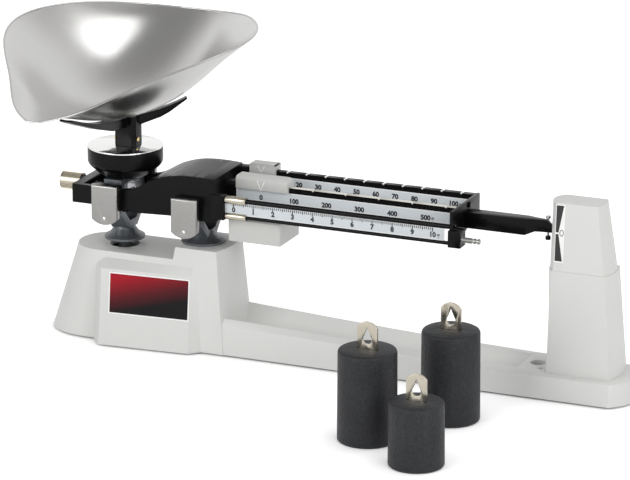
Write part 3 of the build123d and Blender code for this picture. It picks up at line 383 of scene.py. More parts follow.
def finish(name, colour, roughness, metallic=0.0, coat=0.0, tone=0.04, patches=30.0, specks=1500.0,
           grain=900.0, depth=0.00005, strength=0.3, stretch=(1, 1, 1), detail=2.0, marks=0.08, specular=0.5):
    """A painted, plated or moulded surface."""
    if name in bpy.data.materials:
        return bpy.data.materials[name]
    material = bpy.data.materials.new(name)
    material.use_nodes = True
    tree = material.node_tree
    shader = tree.nodes["Principled BSDF"]
    shader.inputs["Metallic"].default_value = metallic
    shader.inputs["Coat Weight"].default_value = coat
    shader.inputs["Coat Roughness"].default_value = 0.12
    shader.inputs["Specular IOR Level"].default_value = specular
    tones = use_group(tree, tone_group(), Colour=(*colour, 1), Patches_per_metre=patches,
                      Specks_per_metre=specks, Amount=tone)
    rubbed = use_group(tree, handling_group(), Roughness=roughness, Spread=marks, Marks_per_metre=70.0)
    grains = use_group(tree, grain_group(), Grain_per_metre=grain, Stretch=stretch, Detail=detail,
                       Strength=strength, Depth=depth)
    link = tree.links.new
    link(tones.outputs["Colour"], shader.inputs["Base Color"])
    link(rubbed.outputs["Roughness"], shader.inputs["Roughness"])
    link(grains.outputs["Normal"], shader.inputs["Normal"])
    return material


def colours():
    return bpy.context.scene.balance_colours


def sizes():
    return bpy.context.scene.balance_sizes


def casting_paint():
    return finish("Casting paint", colours().casting, 0.42, tone=0.02, grain=1400, depth=0.00012, strength=0.35,
                  detail=3, marks=0.1)


def beam_enamel():
    return finish("Beam enamel", colours().beam, 0.25, specular=0.13, tone=0.1, grain=500, depth=0.00006,
                  strength=0.3, marks=0.14)


def fork_casting():
    return finish("Fork casting", colours().fork, 0.36, metallic=0.6, tone=0.2, grain=700, depth=0.00012,
                  strength=0.5, detail=3)


def nickel():
    return finish("Nickel plate", colours().nickel, 0.27, metallic=1.0, tone=0.05, grain=1500,
                  stretch=(1, 1, 0.06), depth=0.00002, strength=0.35)


def rod_nickel():
    return finish("Warm nickel", colours().warm_nickel, 0.2, metallic=1.0, tone=0.05, grain=1500,
                  stretch=(0.05, 1, 1), depth=0.00002, strength=0.3)


def steel():
    return finish("Hard steel", (0.5, 0.5, 0.52), 0.3, metallic=1.0, tone=0.06, grain=1200,
                  stretch=(0.1, 1, 1), depth=0.00003)


def brass():
    return finish("Brass", (0.78, 0.58, 0.26), 0.25, metallic=1.0, tone=0.08, grain=1200, depth=0.00003)


def poise_paint():
    return finish("Poise paint", colours().poise, 0.4, tone=0.015, grain=1600, depth=0.00006, strength=0.25)


def scale_face():
    return finish("Scale face", colours().scale, 0.45, tone=0.02, grain=1500, depth=0.00001, strength=0.2)


def white_print():
    return finish("White print", (0.88, 0.88, 0.87), 0.45, tone=0.01, grain=1500, depth=0.00001, strength=0.2)


def black_print():
    return finish("Black print", (0.012, 0.012, 0.016), 0.5, tone=0.05, grain=1500, depth=0.00001, strength=0.2)


def wedge_print():
    return finish("Wedge print", (0.016, 0.015, 0.017), 0.45, tone=0.05, grain=1500, depth=0.00001, strength=0.2)


# Painted reflection: a cream colour that stands in for the light the middle bar's top faces reflect.
def cream_edge():
    return finish("Painted top sheen", (0.78, 0.76, 0.68), 0.3, tone=0.04, grain=1200, depth=0.00002)


def mirror_plate():
    return finish("Polished plate", (0.86, 0.86, 0.85), 0.08, metallic=1.0, tone=0.02, grain=300, depth=0.00001,
                  strength=0.1, marks=0.04)


def scoop_steel():
    return finish("Scoop steel", colours().scoop, 0.24, metallic=1.0, tone=0.03, patches=12, grain=900,
                  stretch=(1, 0.12, 1), depth=0.00003, strength=0.3, marks=0.1)


# Painted shade: the rim is coloured darker than the scoop, standing in for the dark edge line that reflections give
# it.
def rim_steel():
    return finish("Rim steel, painted dark edge", (0.5, 0.49, 0.48), 0.16, metallic=1.0, tone=0.03, grain=900, depth=0.00001,
                  strength=0.2)


def weight_coat():
    return finish("Crinkle coat", colours().weight, 0.5, tone=1.6, specks=520, grain=600, depth=0.0006, strength=1.0,
                  detail=4, marks=0.1, specular=0.35)


def rubber():
    return finish("Foot rubber", (0.02, 0.02, 0.02), 0.75, tone=0.1, grain=900, depth=0.0001)


def dark_iron():
    return finish("Dark iron", (0.06, 0.06, 0.065), 0.6, metallic=0.5, tone=0.2, grain=600, depth=0.0002)


def vane_metal():
    return finish("Vane aluminium", (0.75, 0.76, 0.78), 0.35, metallic=1.0, tone=0.05, grain=1400,
                  stretch=(0.05, 1, 1), depth=0.00002)


def label_print():
    """Red that falls to black from the label's top to its foot."""
    if "Label print" in bpy.data.materials:
        return bpy.data.materials["Label print"]
    material = finish("Label print", (0.3, 0.02, 0.03), 0.4, tone=0.05, grain=1200, depth=0.00001, specular=0.15)
    tree = material.node_tree
    tones = next(node for node in tree.nodes if node.type == "GROUP" and node.node_tree.name == "Uneven tone")
    low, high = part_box("label_plate")
    places = add(tree, "ShaderNodeTexCoord")
    parts = add(tree, "ShaderNodeSeparateXYZ")
    slant = add(tree, "ShaderNodeMath", operation="MULTIPLY_ADD")
    slant.inputs[1].default_value = -0.25
    height = add(tree, "ShaderNodeMapRange")
    height.inputs["From Min"].default_value = low.z - 0.25 * high.x + 0.012
    height.inputs["From Max"].default_value = high.z - 0.25 * low.x - 0.004
    ramp = add(tree, "ShaderNodeValToRGB")
    ramp.color_ramp.elements[0].position = 0.12
    ramp.color_ramp.elements[0].color = (0.006, 0.005, 0.006, 1)
    ramp.color_ramp.elements[1].position = 0.95
    ramp.color_ramp.elements[1].color = (*colours().label, 1)
    middle = ramp.color_ramp.elements.new(0.45)
    middle.color = (0.09, 0.008, 0.012, 1)
    link = tree.links.new
    link(places.outputs["Object"], parts.inputs[0])
    link(parts.outputs["X"], slant.inputs[0])
    link(parts.outputs["Z"], slant.inputs[2])
    link(slant.outputs[0], height.inputs["Value"])
    link(height.outputs["Result"], ramp.inputs["Fac"])
    link(ramp.outputs["Color"], tones.inputs["Colour"])
    return material


# Pieces

class BALANCE_OT_base(bpy.types.Operator):
    """Base casting, bottom plate, feet, label and damper post"""
    bl_idname = "balance.base"
    bl_label = "Base and post"

    def execute(self, context):
        rounded_node("base_casting", "base_housing", casting_paint(), "base", "painted_casting",
                     sizes().casting_edge, 3)
        rounded_node("damper_post", "pointer_post", casting_paint(), "base", "painted_casting",
                     1.7 * sizes().casting_edge, 4)
        rounded_node("bottom_plate", "bottom_sheet", dark_iron(), "base", "bottom_sheet", 0.3)
        rounded_node("rubber_feet", "foot_pads", rubber(), "base", "foot_rubber", 0.4)
        rounded_node("post_screws", "post_fixings", steel(), "base", "hard_steel", 0.3)
        rounded_node("check_bracket", "link_bracket", steel(), "base", "link_steel", 0.3)
        rounded_node("check_link_pin", "link_pin", steel(), "base", "hard_steel", 0.2)
        rounded_node("magnet_bracket", "magnet_holder", steel(), "base", "nickel", 0.2)
        rounded_node("damper_magnets", "magnets", dark_iron(), "base", "magnet", 0.2)
        self.label()
        self.zero_mark()
        return {"FINISHED"}

    def label(self):
        """The printed label: white border and a red to black field."""
        plate = copy_node("label_plate", "label")
        toward = max(plate.data.polygons, key=lambda face: -face.normal.y * face.area).normal.copy()
        dress(plate, white_print(), "base", "label_print", "label_plate")
        plate.data.materials.append(label_print())
        pick(plate, faces=lambda middle, normal: normal.dot(toward) > 0.99)
        bpy.ops.mesh.inset(thickness=0.9 * mm, depth=0)
        bpy.context.object.active_material_index = 1
        bpy.ops.object.material_slot_assign()
        done(plate)

    def zero_mark(self):
        """The zero plate with its two wedges, the line between them and the numeral."""
        rounded_node("zero_plate", "zero_sheet", white_print(), "base", "zero_print", 0.08, 1)
        low, high = span("zero_plate")
        line_z, half_line, wedge_height = low.z + 21.2, 0.6, 20
        left, right, narrowing, ink = low.x + 0.5, low.x + 6.0, 3.4, 0.1
        zero_x, zero_z, zero_radius, zero_stretch = low.x + 4.9, line_z + 0.4, 1.3, 1.7
        prints = []
        for sign in (-1, 1):
            wedge = block("wedge", (left, low.y, line_z + sign * half_line),
                          (right, low.y + ink, line_z + sign * wedge_height))
            pick(wedge, edges=lambda a, b: min(a.x, b.x) > right - 1
                 and max(abs(a.z - line_z), abs(b.z - line_z)) < 1)
            bpy.ops.transform.translate(value=(-narrowing * mm, 0, 0))
            prints.append(done(wedge))
        zero = rod("zero", (zero_x, low.y + ink, zero_z), (zero_x, low.y, zero_z), zero_radius, 24)
        pick(zero, faces=lambda centre, normal: abs(normal.y) > 0.9)
        bpy.ops.mesh.delete(type="ONLY_FACE")
        bpy.ops.mesh.select_all(action="SELECT")
        bpy.ops.transform.resize(value=(1, 1, zero_stretch))
        done(zero)
        modify(zero, "SOLIDIFY", thickness=0.45 * mm, offset=0)
        prints.append(zero)
        marks = join("zero_marks", *prints)
        # The sheet is 0.5 mm thick and leans back with the post, and the print stands 0.03 mm proud of it.
        lean = (high.y - low.y - 0.5) / (high.z - low.z)
        for point in marks.data.vertices:
            point.co.y += (point.co.z - at(0, 0, low.z).z) * lean - 0.03 * mm
        dress(marks, wedge_print(), "base", "zero_print")


class BALANCE_OT_forks(bpy.types.Operator):
    """The two forks with their bearings, screw, stem pin and check link"""
    bl_idname = "balance.forks"
    bl_label = "Forks and bearings"

    def execute(self, context):
        rounded_node("fulcrum_yoke", "main_fork", fork_casting(), "base", "grey_casting", 1.1, 3)
        rounded_node("pan_yoke", "pan_fork", fork_casting(), "pan_holder", "grey_casting", 0.9, 3)
        rounded_node("fulcrum_screw", "fork_screw", steel(), "base", "hard_steel", 0.3)
        rounded_node("fulcrum_bearings", "main_bearings", steel(), "base", "hard_steel", 0.2)
        rounded_node("load_bearings", "pan_bearings", steel(), "pan_holder", "hard_steel", 0.2)
        rounded_node("stem_pin", "stem_cross_pin", steel(), "pan_holder", "hard_steel", 0.2)
        rounded_node("check_link", "level_link", steel(), "check_link", "link_steel", 0.3)
        return {"FINISHED"}


class BALANCE_OT_beam(bpy.types.Operator):
    """Beam casting, knives, bearing covers, bars, rods and end bracket"""
    bl_idname = "balance.beam"
    bl_label = "Beam"

    def execute(self, context):
        rounded_node("beam_casting", "beam_frame", beam_enamel(), "beam", "black_enamel", sizes().beam_edge, 3)
        for node in ("load_knives", "fulcrum_knives"):
            rounded_node(node, node + "_ground", steel(), "beam", "hard_steel", 0)
        for node in ("load_cover_front", "load_cover_rear", "fulcrum_cover_front", "fulcrum_cover_rear"):
            rounded_node(node, node + "_plated", nickel(), "beam", "nickel", 0.25)
        rounded_node("end_bracket", "end_plate", beam_enamel(), "beam", "black_enamel", 0.7, 3)
        rounded_node("bracket_screws", "bracket_screw_heads", beam_enamel(), "beam", "black_enamel", 0.3)
        rounded_node("hanger_pin", "weight_pin", nickel(), "beam", "nickel", 0.25)
        rear = rounded_node("rear_bar", "rear_notched_bar", beam_enamel(), "beam", "black_enamel", 0)
        # Painted highlight: the rear bar's faces that look up and to the right are coloured white, standing in for
        # the light they catch.
        second_finish(rear, white_print(), lambda middle, normal: normal.z > 0.3 and normal.x > 0.2)
        centre = rounded_node("middle_bar", "middle_notched_bar", beam_enamel(), "beam", "black_enamel", 0)
        # Painted reflection: the middle bar's top faces are coloured cream, standing in for the light they reflect.
        second_finish(centre, cream_edge(), lambda middle, normal: normal.z > 0.3 and normal.x > -0.1)
        for node in ("front_upper_rod", "front_lower_rod"):
            rounded_node(node, node + "_black", beam_enamel(), "beam", "black_enamel", 0)
        return {"FINISHED"}


class BALANCE_OT_pointer(bpy.types.Operator):
    """Pointer arm, damper vane and the trim screw with its nut"""
    bl_idname = "balance.pointer"
    bl_label = "Pointer"

    def execute(self, context):
        rounded_node("pointer_arm", "pointer", beam_enamel(), "beam", "black_enamel", 0.6, 2)
        rounded_node("damper_vane", "vane", vane_metal(), "beam", "vane_aluminium", 0.15)
        rounded_node("trim_screw", "trim_screw_steel", steel(), "beam", "hard_steel", 0.15)
        rounded_node("trim_nut", "trim_nut_black", beam_enamel(), "beam", "hard_steel", 0.2)
        return {"FINISHED"}


class BALANCE_OT_scales(bpy.types.Operator):
    """The three printed scale plates with their numerals and ticks"""
    bl_idname = "balance.scales"
    bl_label = "Scales"

    # Where each row's zero stands, and the run from one numeral to the next
    rear_zero, rear_run = 100.6, 15.1
    middle_zero, middle_run = 111.4, 25.64
    front_zero, front_run = 99.7, 15.45

    def execute(self, context):
        for node, name in (("rear_scale_plate", "rear_scale"), ("middle_scale_plate", "middle_scale"),
                           ("front_scale_plate", "front_scale")):
            self.plate(node, name)
        high = sizes().numeral
        rear = span("rear_scale_plate")[0].y
        words = [(str(10 * k), self.rear_zero + self.rear_run * k) for k in range(1, 11)] + [("g", 257.0)]
        self.numerals("rear_numerals", words, rear, 122.5, high)
        middle = span("middle_scale_plate")[0].y
        words = [("0", 111.1)] + [(str(100 * k), self.middle_zero + self.middle_run * k) for k in range(1, 6)]
        self.numerals("middle_numerals", words + [("g", 245.0)], middle, 117.2, high)
        front = span("front_scale_plate")[0].y
        words = [(str(k), self.front_zero + self.front_run * k) for k in range(11)] + [("g", 258.6)]
        self.numerals("front_numerals", words, front, 112.9, high)
        self.ticks(front)
        return {"FINISHED"}

    def plate(self, node, name):
        """A plate whose face has a white margin round the grey field."""
        low, high = span(node)
        plate = block(name, low, high)
        dress(plate, white_print(), "beam", "scale_print", node)
        plate.data.materials.append(scale_face())
        pick(plate, faces=lambda middle, normal: normal.y < -0.9)
        bpy.ops.mesh.inset(thickness=0.55 * mm, depth=0)
        plate.active_material_index = 1
        bpy.ops.object.material_slot_assign()
        done(plate)

    def numerals(self, name, words, y, z, height):
        """A row of numerals standing just proud of a plate."""
        signs = []
        for word, x in words:
            only()
            bpy.ops.object.text_add(location=at(x, y, z), rotation=(pi / 2, 0, 0))
            sign = bpy.context.object
            sign.data.body = word
            sign.data.size = height * mm / 0.7
            sign.data.align_x = "CENTER"
            sign.data.align_y = "CENTER"
            sign.data.extrude = 0.04 * mm
            # The g is drawn lighter, so that its loops stay open.
            sign.data.offset = sizes().numeral_weight * mm * (0.4 if word == "g" else 1)
            sign.data.resolution_u = 3
            bpy.ops.object.convert(target="MESH")
            signs.append(settle(bpy.context.object))
        dress(join(name, *signs), black_print(), "beam", "scale_print")

    def ticks(self, y):
        """Ticks that hang from the front plate's top edge: tenths, halves and full grams."""
        top = span("front_scale_plate")[1].z - 0.25
        rows = []
        for every, length, width in ((1, 1.8, 0.6), (5, 2.4, 0.65), (10, 3.0, 0.7)):
            tick = block("tick", (self.front_zero - width / 2, y - 0.05, top - length),
                         (self.front_zero + width / 2, y + 0.05, top))
            modify(tick, "ARRAY", count=100 // every + 1, use_relative_offset=False, use_constant_offset=True,
                   constant_offset_displace=(self.front_run / 10 * every * mm, 0, 0))
            rows.append(tick)
        dress(join("front_ticks", *rows), black_print(), "beam", "scale_print")


class BALANCE_OT_poises(bpy.types.Operator):
    """The two capped poises and the rider of the front scale"""
    bl_idname = "balance.poises"
    bl_label = "Poises"

    def execute(self, context):
        self.capped("rear_poise", chamfer=0.9, mark_x=102.0, mark_height=5.4)
        self.capped("middle_poise", chamfer=2.3, mark_x=112.4, mark_height=7.6)
        rounded_node("front_rider", "front_rider_plated", rod_nickel(), "front_rider", "nickel", 0.15)
        return {"FINISHED"}

    def capped(self, node, chamfer, mark_x, mark_height):
        """A poise whose cap is chamfered at the front and right, with a V-shaped mark on its face."""
        obj = copy_node(node, node + "_painted")
        top = span(node)[1].z
        cap = [point for point in ((v.co - pan_axis) / mm for v in obj.data.vertices) if point.z > top - 5]
        front = min(point.y for point in cap)
        right = max(point.x for point in cap)
        for place, way in (((0, front, top - chamfer), (0, -0.7, 0.71)),
                           ((right, 0, top - chamfer), (0.7, 0, 0.71))):
            only(obj)
            bpy.ops.object.mode_set(mode="EDIT")
            bpy.ops.mesh.select_all(action="SELECT")
            bpy.ops.mesh.bisect(plane_co=at(*place), plane_no=way, use_fill=True, clear_outer=True)
            done(obj)
        soften(obj, 0.35, 3)
        dress(obj, poise_paint(), node, "poise_paint", node)
        high_z = top - chamfer
        low_z = high_z - mark_height
        half_stroke, half_spread, proud = 0.3, 2.9, 0.08
        lines = []
        for side in (-1, 1):
            line = block("line", (mark_x - half_stroke, front - proud, low_z),
                         (mark_x + half_stroke, front + 0.3, high_z))
            pick(line, edges=lambda a, b: min(a.z, b.z) > high_z - 0.1)
            bpy.ops.transform.translate(value=(side * half_spread * mm, 0, 0))
            lines.append(done(line))
        dress(join(node + "_mark", *lines), white_print(), node, "poise_paint")


class BALANCE_OT_zero_knob(bpy.types.Operator):
    """Zero knob with its knurl, the bush inside and the screw it runs on"""
    bl_idname = "balance.zero_knob"
    bl_label = "Zero knob"

    def execute(self, context):
        rounded_node("zero_bush", "bush", brass(), "zero_bush", "brass_fittings", 0.1)
        rounded_node("zero_screw", "zero_thread", steel(), "beam", "brass_fittings", 0.2)
        low, high = span("zero_knob")
        radius = (high.z - low.z) / 2
        z = (high.z + low.z) / 2
        facets = 72
        knob = rod("knob", (low.x, 0, z), (high.x, 0, z), radius, facets)
        pick(knob, faces=lambda middle, normal: abs(normal.x) > 0.9)
        bpy.ops.mesh.inset(thickness=0.8 * mm, depth=0)
        bpy.ops.mesh.inset(thickness=0.5 * mm, depth=-0.4 * mm)
        done(knob)
        # The bush's bore starts 2 mm in from the outer end, and the screw's goes right through.
        for node, start in (("zero_bush", low.x + 2), ("zero_screw", low.x - 1)):
            bottom, top = span(node)
            bore = rod("bore", (start, 0, z), (high.x + 1, 0, z), (top.z - bottom.z) / 2 + 0.1, 48)
            modify(knob, "BOOLEAN", object=bore, operation="DIFFERENCE", solver="EXACT")
            bpy.data.objects.remove(bore)
        side = 2 * pi / facets

        def every_other(middle, normal):
            angle = atan2(middle.z - z, middle.y)
            outside = abs(normal.x) < 0.1 and hypot(middle.y, middle.z - z) > radius - 0.2
            return outside and int(round(angle / side - 0.5)) % 2 == 0

        pick(knob, faces=every_other)
        bpy.ops.mesh.inset(thickness=0.1 * mm, depth=-0.35 * mm, use_individual=True)
        done(knob)
        smooth(knob, 25)
        dress(knob, rod_nickel(), "zero_knob", "nickel", "zero_knob")
        return {"FINISHED"}


class BALANCE_OT_pan(bpy.types.Operator):
    """Bowl and polished plate that the cradle stands on"""
    bl_idname = "balance.pan"
    bl_label = "Pan holder"

    def execute(self, context):
        rounded_node("pan_bowl", "bowl", beam_enamel(), "pan_holder", "black_enamel", 0.5, 3)
        rounded_node("pan_disc", "top_plate", mirror_plate(), "pan_holder", "polished_plate", 0.3, 2)
        return {"FINISHED"}


class BALANCE_OT_cradle(bpy.types.Operator):
    """The three-armed cradle and its screws"""
    bl_idname = "balance.cradle"
    bl_label = "Cradle"

    def execute(self, context):
        rounded_node("cradle", "cradle_black", beam_enamel(), "cradle", "black_enamel", 0.8, 3)
        rounded_node("cradle_screws", "cradle_screw_heads", brass(), "cradle", "brass_fittings", 0.2)
        return {"FINISHED"}


class BALANCE_OT_scoop(bpy.types.Operator):
    """The pressed stainless scoop: a grid bent to its stations, given its sheet thickness"""
    bl_idname = "balance.scoop"
    bl_label = "Scoop"

    # Share of the length from back to lip, half width, rim height and keel height
    stations = ((0.0, 14.0, 217.7, 217.2), (0.03, 38.0, 219.9, 210.0), (0.08, 50.5, 223.0, 201.0),
                (0.17, 68.0, 227.4, 188.0), (0.29, 87.5, 229.5, 174.5), (0.41, 94.8, 228.4, 168.3),
                (0.55, 86.4, 225.4, 169.0), (0.69, 65.6, 218.6, 177.0), (0.78, 49.4, 213.0, 185.0),
                (0.89, 32.7, 204.9, 194.0), (0.96, 20.1, 200.4, 197.2), (1.0, 6.0, 198.9, 198.0))
    # Share of the half width and share of the rise from keel to rim
    wall = ((0.25, 0.085), (0.42, 0.215), (0.58, 0.43), (0.76, 0.7), (1.0, 1.0))
    across, along = 24, 40

    def execute(self, context):
        low, high = span("scoop")
        axis = (low.x + high.x) / 2
        back, length = high.y - 1.1, high.y - low.y - 2.2
        right = [Vector(point) for point in self.wall]
        profile = smooth_line([Vector((-a, b)) for a, b in reversed(right)] + [Vector((0, 0))] + right,
                              self.across, 2)
        keel = smooth_line([Vector((back - share * length, half, rim, deep))
                            for share, half, rim, deep in self.stations], self.along, 5)
        only()
        bpy.ops.mesh.primitive_grid_add(x_subdivisions=self.across, y_subdivisions=self.along, size=2)
        sheet = bpy.context.object
        sheet.name = "scoop_pressed"
        for point in sheet.data.vertices:
            out, rise = profile[round((point.co.x + 1) / 2 * self.across)]
            y, half, rim, deep = keel[round((1 - point.co.y) / 2 * self.along)]
            point.co = at(axis + (half - 0.8) * out, y, deep + (rim - 0.6 - deep) * rise + 1.0)
        modify(sheet, "SUBSURF", levels=2, render_levels=2)
        rim = self.rim(sheet)
        modify(sheet, "SOLIDIFY", thickness=sizes().scoop_sheet * mm, offset=-0.6, use_even_offset=True)
        smooth(sheet, 70)
        dress(sheet, scoop_steel(), "scoop", "scoop_steel", "scoop")
        # Painted shade: the rim takes a darker steel than the sheet, so it reads as a dark edge line.
        dress(rim, rim_steel(), "scoop", "scoop_steel")
        return {"FINISHED"}

    def rim(self, sheet):
        """The rolled rim: a thin round bead along the sheet's edge."""
        only(sheet)
        bpy.ops.object.duplicate()
        bead = bpy.context.object
        bead.name = "scoop_rim"
        bpy.ops.object.mode_set(mode="EDIT")
        bpy.ops.mesh.select_mode(type="EDGE")
        bpy.ops.mesh.select_all(action="SELECT")
        bpy.ops.mesh.region_to_loop()
        bpy.ops.mesh.select_all(action="INVERT")
        bpy.ops.mesh.delete(type="EDGE")
        done(bead)
        bpy.ops.object.convert(target="CURVE")
        bead.data.bevel_depth = sizes().scoop_bead * mm
        bead.data.bevel_resolution = 2
        bpy.ops.object.convert(target="MESH")
        return smooth(bead, 60)


class BALANCE_OT_weights(bpy.types.Operator):
    """The three attachment weights with strips and closing plugs"""
    bl_idname = "balance.weights"
    bl_label = "Weights"

    def execute(self, context):
        for name in ("large_weight_1", "large_weight_2", "small_weight"):
            rounded_node(name, name + "_body", weight_coat(), name, "crinkle_black", 0.4)
            rounded_node(name + "_plug", name + "_disc", dark_iron(), name, "plug_iron", 0.2)
            rounded_node(name + "_strip", name + "_hanger", rod_nickel(), name, "nickel", 0.2)
        return {"FINISHED"}


class BALANCE_OT_stage(bpy.types.Operator):
    """Floor, lamps, white surroundings and the camera"""
    bl_idname = "balance.stage"
    bl_label = "Studio"

    def execute(self, context):
        studio = context.scene.balance_studio
        context.scene.view_settings.view_transform = "Standard"
        self.floor()
        self.surroundings(studio.ambient)
        self.lamp("key", (-1.1, -2.2, 1.2), 1.6, studio.key)
        self.lamp("fill", (2.0, -1.4, 1.1), 1.6, studio.fill)
        self.lamp("overhead", (0.97, 0.76, 1.75), 0.72, studio.overhead)
        self.camera()
        return {"FINISHED"}

    def floor(self):
        """A pale floor, white to the eye in the open, with a painted contact shadow where the object stands close to
        it.
        """
        only()
        bpy.ops.mesh.primitive_circle_add(vertices=96, radius=9, fill_type="NGON", location=(0, 0, 0))
        floor = bpy.context.object
        floor.name = "studio_floor"
        material = bpy.data.materials.new("Studio floor")
        material.use_nodes = True
        tree = material.node_tree
        shader = tree.nodes["Principled BSDF"]
        shader.inputs["Base Color"].default_value = (0.93, 0.93, 0.93, 1)
        shader.inputs["Roughness"].default_value = 0.8
        shader.inputs["Emission Color"].default_value = (1, 1, 1, 1)
        rays = add(tree, "ShaderNodeLightPath")
        mirrored = add(tree, "ShaderNodeMath", operation="MULTIPLY")
        mirrored.inputs[1].default_value = 0.22
        # Painted shadow: the floor's glow fades where the object stands close, so a dark contact line shows under
        # it.
        painted_contact_shadow = add(tree, "ShaderNodeAmbientOcclusion", samples=8)
        painted_contact_shadow.inputs["Distance"].default_value = 0.045
        open_floor = add(tree, "ShaderNodeMath", operation="MULTIPLY")
        open_floor.inputs[1].default_value = 0.5
        seen = add(tree, "ShaderNodeMath", operation="MULTIPLY_ADD")
        tree.links.new(rays.outputs["Is Glossy Ray"], mirrored.inputs[0])
        tree.links.new(painted_contact_shadow.outputs["AO"], open_floor.inputs[0])
        tree.links.new(rays.outputs["Is Camera Ray"], seen.inputs[0])
        tree.links.new(open_floor.outputs[0], seen.inputs[1])
        tree.links.new(mirrored.outputs[0], seen.inputs[2])
        tree.links.new(seen.outputs[0], shader.inputs["Emission Strength"])
        floor.data.materials.append(material)

    def surroundings(self, ambient):
        """White to the eye with a darker ceiling in reflections, and a plain light elsewhere."""
        world = bpy.data.worlds.new("Studio white")
        bpy.context.scene.world = world
        world.use_nodes = True
        tree = world.node_tree
        back = tree.nodes["Background"]
        rays = add(tree, "ShaderNodeLightPath")
        either = add(tree, "ShaderNodeMath", operation="MAXIMUM")
        any_of = add(tree, "ShaderNodeMath", operation="MAXIMUM")
        level = add(tree, "ShaderNodeMapRange")
        level.inputs["To Min"].default_value = ambient
        ways = add(tree, "ShaderNodeTexCoord")
        parts = add(tree, "ShaderNodeSeparateXYZ")
        ceiling = add(tree, "ShaderNodeMapRange", interpolation_type="SMOOTHSTEP")
        ceiling.inputs["From Min"].default_value = 0.45
        ceiling.inputs["From Max"].default_value = 0.98
        ceiling.inputs["To Min"].default_value = 1.0
        ceiling.inputs["To Max"].default_value = 0.35
        link = tree.links.new
        link(ways.outputs["Generated"], parts.inputs[0])
        link(parts.outputs["Z"], ceiling.inputs["Value"])
        link(rays.outputs["Is Camera Ray"], either.inputs[0])
        link(rays.outputs["Is Glossy Ray"], either.inputs[1])
        link(either.outputs[0], any_of.inputs[0])
        link(rays.outputs["Is Transmission Ray"], any_of.inputs[1])
        link(any_of.outputs[0], level.inputs["Value"])
        link(ceiling.outputs["Result"], level.inputs["To Max"])
        link(level.outputs["Result"], back.inputs["Strength"])
        back.inputs["Color"].default_value = (1, 1, 1, 1)

    def lamp(self, name, place, size, power):
        """A square soft light that looks at the object."""
        only()
        way = Vector((0, 0, 0.08)) - Vector(place)
        bpy.ops.object.light_add(type="AREA", location=place, rotation=way.to_track_quat("-Z", "Y").to_euler())
        lamp = bpy.context.object
        lamp.name = "studio_" + name
        lamp.data.size = size
        lamp.data.energy = power

    def camera(self):
        """The camera at the photograph's viewing angle."""
        only()
        studio = bpy.context.scene.balance_studio
        target = at(*studio.aim)
        turn, rise = radians(studio.azimuth), radians(studio.elevation)
        way = Vector((sin(turn) * cos(rise), -cos(turn) * cos(rise), sin(rise)))
        bpy.ops.object.camera_add(location=target + way * studio.distance,
                                  rotation=(-way).to_track_quat("-Z", "Y").to_euler())
        camera = bpy.context.object
        camera.name = "studio_camera"
        camera.data.lens = studio.lens
        camera.data.sensor_width = 36
        camera.data.sensor_fit = "HORIZONTAL"
        camera.data.clip_end = 50
        bpy.context.scene.camera = camera


# Settings a user would change

class BalanceSizes(bpy.types.PropertyGroup):
    """Sizes in millimetres that the CAD leaves open"""
    scoop_bead: bpy.props.FloatProperty(name="Scoop bead", description="Radius of the scoop's rolled rim, mm",
                                        default=0.7, min=0.2, max=2)
    scoop_sheet: bpy.props.FloatProperty(name="Scoop sheet", description="Thickness of the scoop's steel, mm",
                                         default=0.9, min=0.3, max=2)
    casting_edge: bpy.props.FloatProperty(name="Casting edge", description="Edge rounding of base and post, mm",
                                          default=1.2, min=0.1, max=3)
    beam_edge: bpy.props.FloatProperty(name="Beam edge", description="Edge rounding of the beam casting, mm",
                                       default=1.0, min=0.1, max=3)
    numeral: bpy.props.FloatProperty(name="Numeral height", description="Height of the scales' numerals, mm",
                                     default=3.5, min=1, max=6)
    numeral_weight: bpy.props.FloatProperty(name="Numeral weight", description="Extra stroke of the numerals, mm",
                                            default=0.27, min=0, max=0.4)


class BalanceColours(bpy.types.PropertyGroup):
    """Colours of the painted, plated and printed surfaces"""
    casting: bpy.props.FloatVectorProperty(name="Casting paint", description="Base and post", subtype="COLOR",
                                           default=(0.66, 0.66, 0.645), min=0, max=1)
    beam: bpy.props.FloatVectorProperty(name="Beam enamel", description="Beam, bracket, bowl and cradle",
                                        subtype="COLOR", default=(0.0035, 0.0035, 0.004), min=0, max=1)
    fork: bpy.props.FloatVectorProperty(name="Fork casting", description="The two forks", subtype="COLOR",
                                        default=(0.13, 0.14, 0.15), min=0, max=1)
    nickel: bpy.props.FloatVectorProperty(name="Nickel", description="Bearing covers and pin", subtype="COLOR",
                                          default=(0.36, 0.355, 0.345), min=0, max=1)
    warm_nickel: bpy.props.FloatVectorProperty(name="Warm nickel", description="Rider, knob and the weights' strips",
                                               subtype="COLOR", default=(0.52, 0.48, 0.4), min=0, max=1)
    poise: bpy.props.FloatVectorProperty(name="Poise paint", description="The two capped poises",
                                         subtype="COLOR", default=(0.56, 0.56, 0.545), min=0, max=1)
    scale: bpy.props.FloatVectorProperty(name="Scale face", description="Field of the scale plates",
                                         subtype="COLOR", default=(0.62, 0.66, 0.69), min=0, max=1)
    scoop: bpy.props.FloatVectorProperty(name="Scoop steel", description="The pressed scoop", subtype="COLOR",
                                         default=(0.58, 0.575, 0.565), min=0, max=1)
    weight: bpy.props.FloatVectorProperty(name="Weight coat", description="Crinkle coat of the weights",
                                          subtype="COLOR", default=(0.013, 0.0138, 0.0165), min=0, max=1)
    label: bpy.props.FloatVectorProperty(name="Label red", description="The label's upper colour",
                                         subtype="COLOR", default=(0.36, 0.009, 0.02), min=0, max=1)


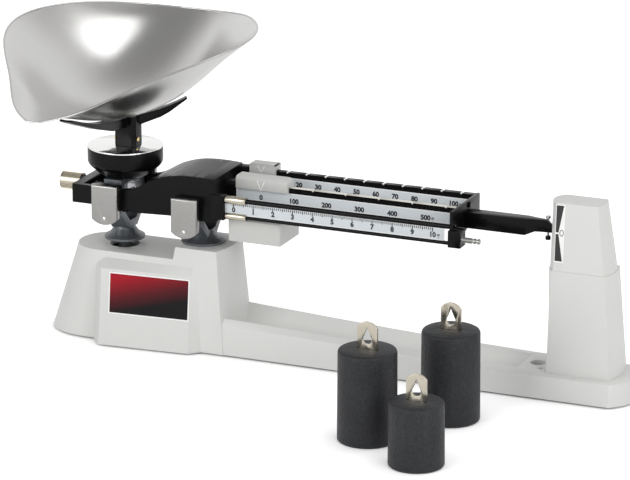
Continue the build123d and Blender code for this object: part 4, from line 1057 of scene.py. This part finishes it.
class BalanceStudio(bpy.types.PropertyGroup):
    """Camera and lamps"""
    azimuth: bpy.props.FloatProperty(name="Azimuth", description="Degrees round the object", default=23.2)
    elevation: bpy.props.FloatProperty(name="Elevation", description="Degrees above the horizon", default=17.05)
    distance: bpy.props.FloatProperty(name="Distance", description="Camera to its aim", default=3.0435,
                                      unit="LENGTH")
    lens: bpy.props.FloatProperty(name="Lens", description="Focal length in millimetres", default=240)
    aim: bpy.props.FloatVectorProperty(name="Aim", description="What the camera looks at, in millimetres",
                                       default=(152.76, 0, 89.51))
    ambient: bpy.props.FloatProperty(name="Ambient", description="Plain light from all round", default=0.53,
                                     min=0, max=2)
    key: bpy.props.FloatProperty(name="Key lamp", description="Power in watts", default=24, min=0)
    fill: bpy.props.FloatProperty(name="Fill lamp", description="Power in watts", default=23, min=0)
    overhead: bpy.props.FloatProperty(name="Overhead lamp", description="Power in watts", default=4.4, min=0)


steps = (BALANCE_OT_base, BALANCE_OT_forks, BALANCE_OT_beam, BALANCE_OT_pointer, BALANCE_OT_scales,
         BALANCE_OT_poises, BALANCE_OT_zero_knob, BALANCE_OT_pan, BALANCE_OT_cradle, BALANCE_OT_scoop,
         BALANCE_OT_weights, BALANCE_OT_stage)
settings = (("balance_sizes", BalanceSizes), ("balance_colours", BalanceColours),
            ("balance_studio", BalanceStudio))


class BALANCE_PT_panel(bpy.types.Panel):
    """Lists the pieces and their settings"""
    bl_label = "Balance"
    bl_idname = "BALANCE_PT_panel"
    bl_space_type = "VIEW_3D"
    bl_region_type = "UI"
    bl_category = "Balance"

    def draw(self, context):
        for step in steps:
            self.layout.operator(step.bl_idname)
        for name, kind in settings:
            box = self.layout.box()
            values = getattr(context.scene, name)
            for key in kind.__annotations__:
                box.prop(values, key)


def register():
    for kind in [kind for name, kind in settings] + list(steps) + [BALANCE_PT_panel]:
        bpy.utils.register_class(kind)
    for name, kind in settings:
        setattr(bpy.types.Scene, name, bpy.props.PointerProperty(type=kind))


def unregister():
    for name, kind in settings:
        delattr(bpy.types.Scene, name)
    for kind in [BALANCE_PT_panel] + list(steps) + [kind for name, kind in settings]:
        bpy.utils.unregister_class(kind)


def main():
    register()
    for step in steps:
        area, name = step.bl_idname.split(".")
        getattr(getattr(bpy.ops, area), name)()


if __name__ == "__main__":
    main()
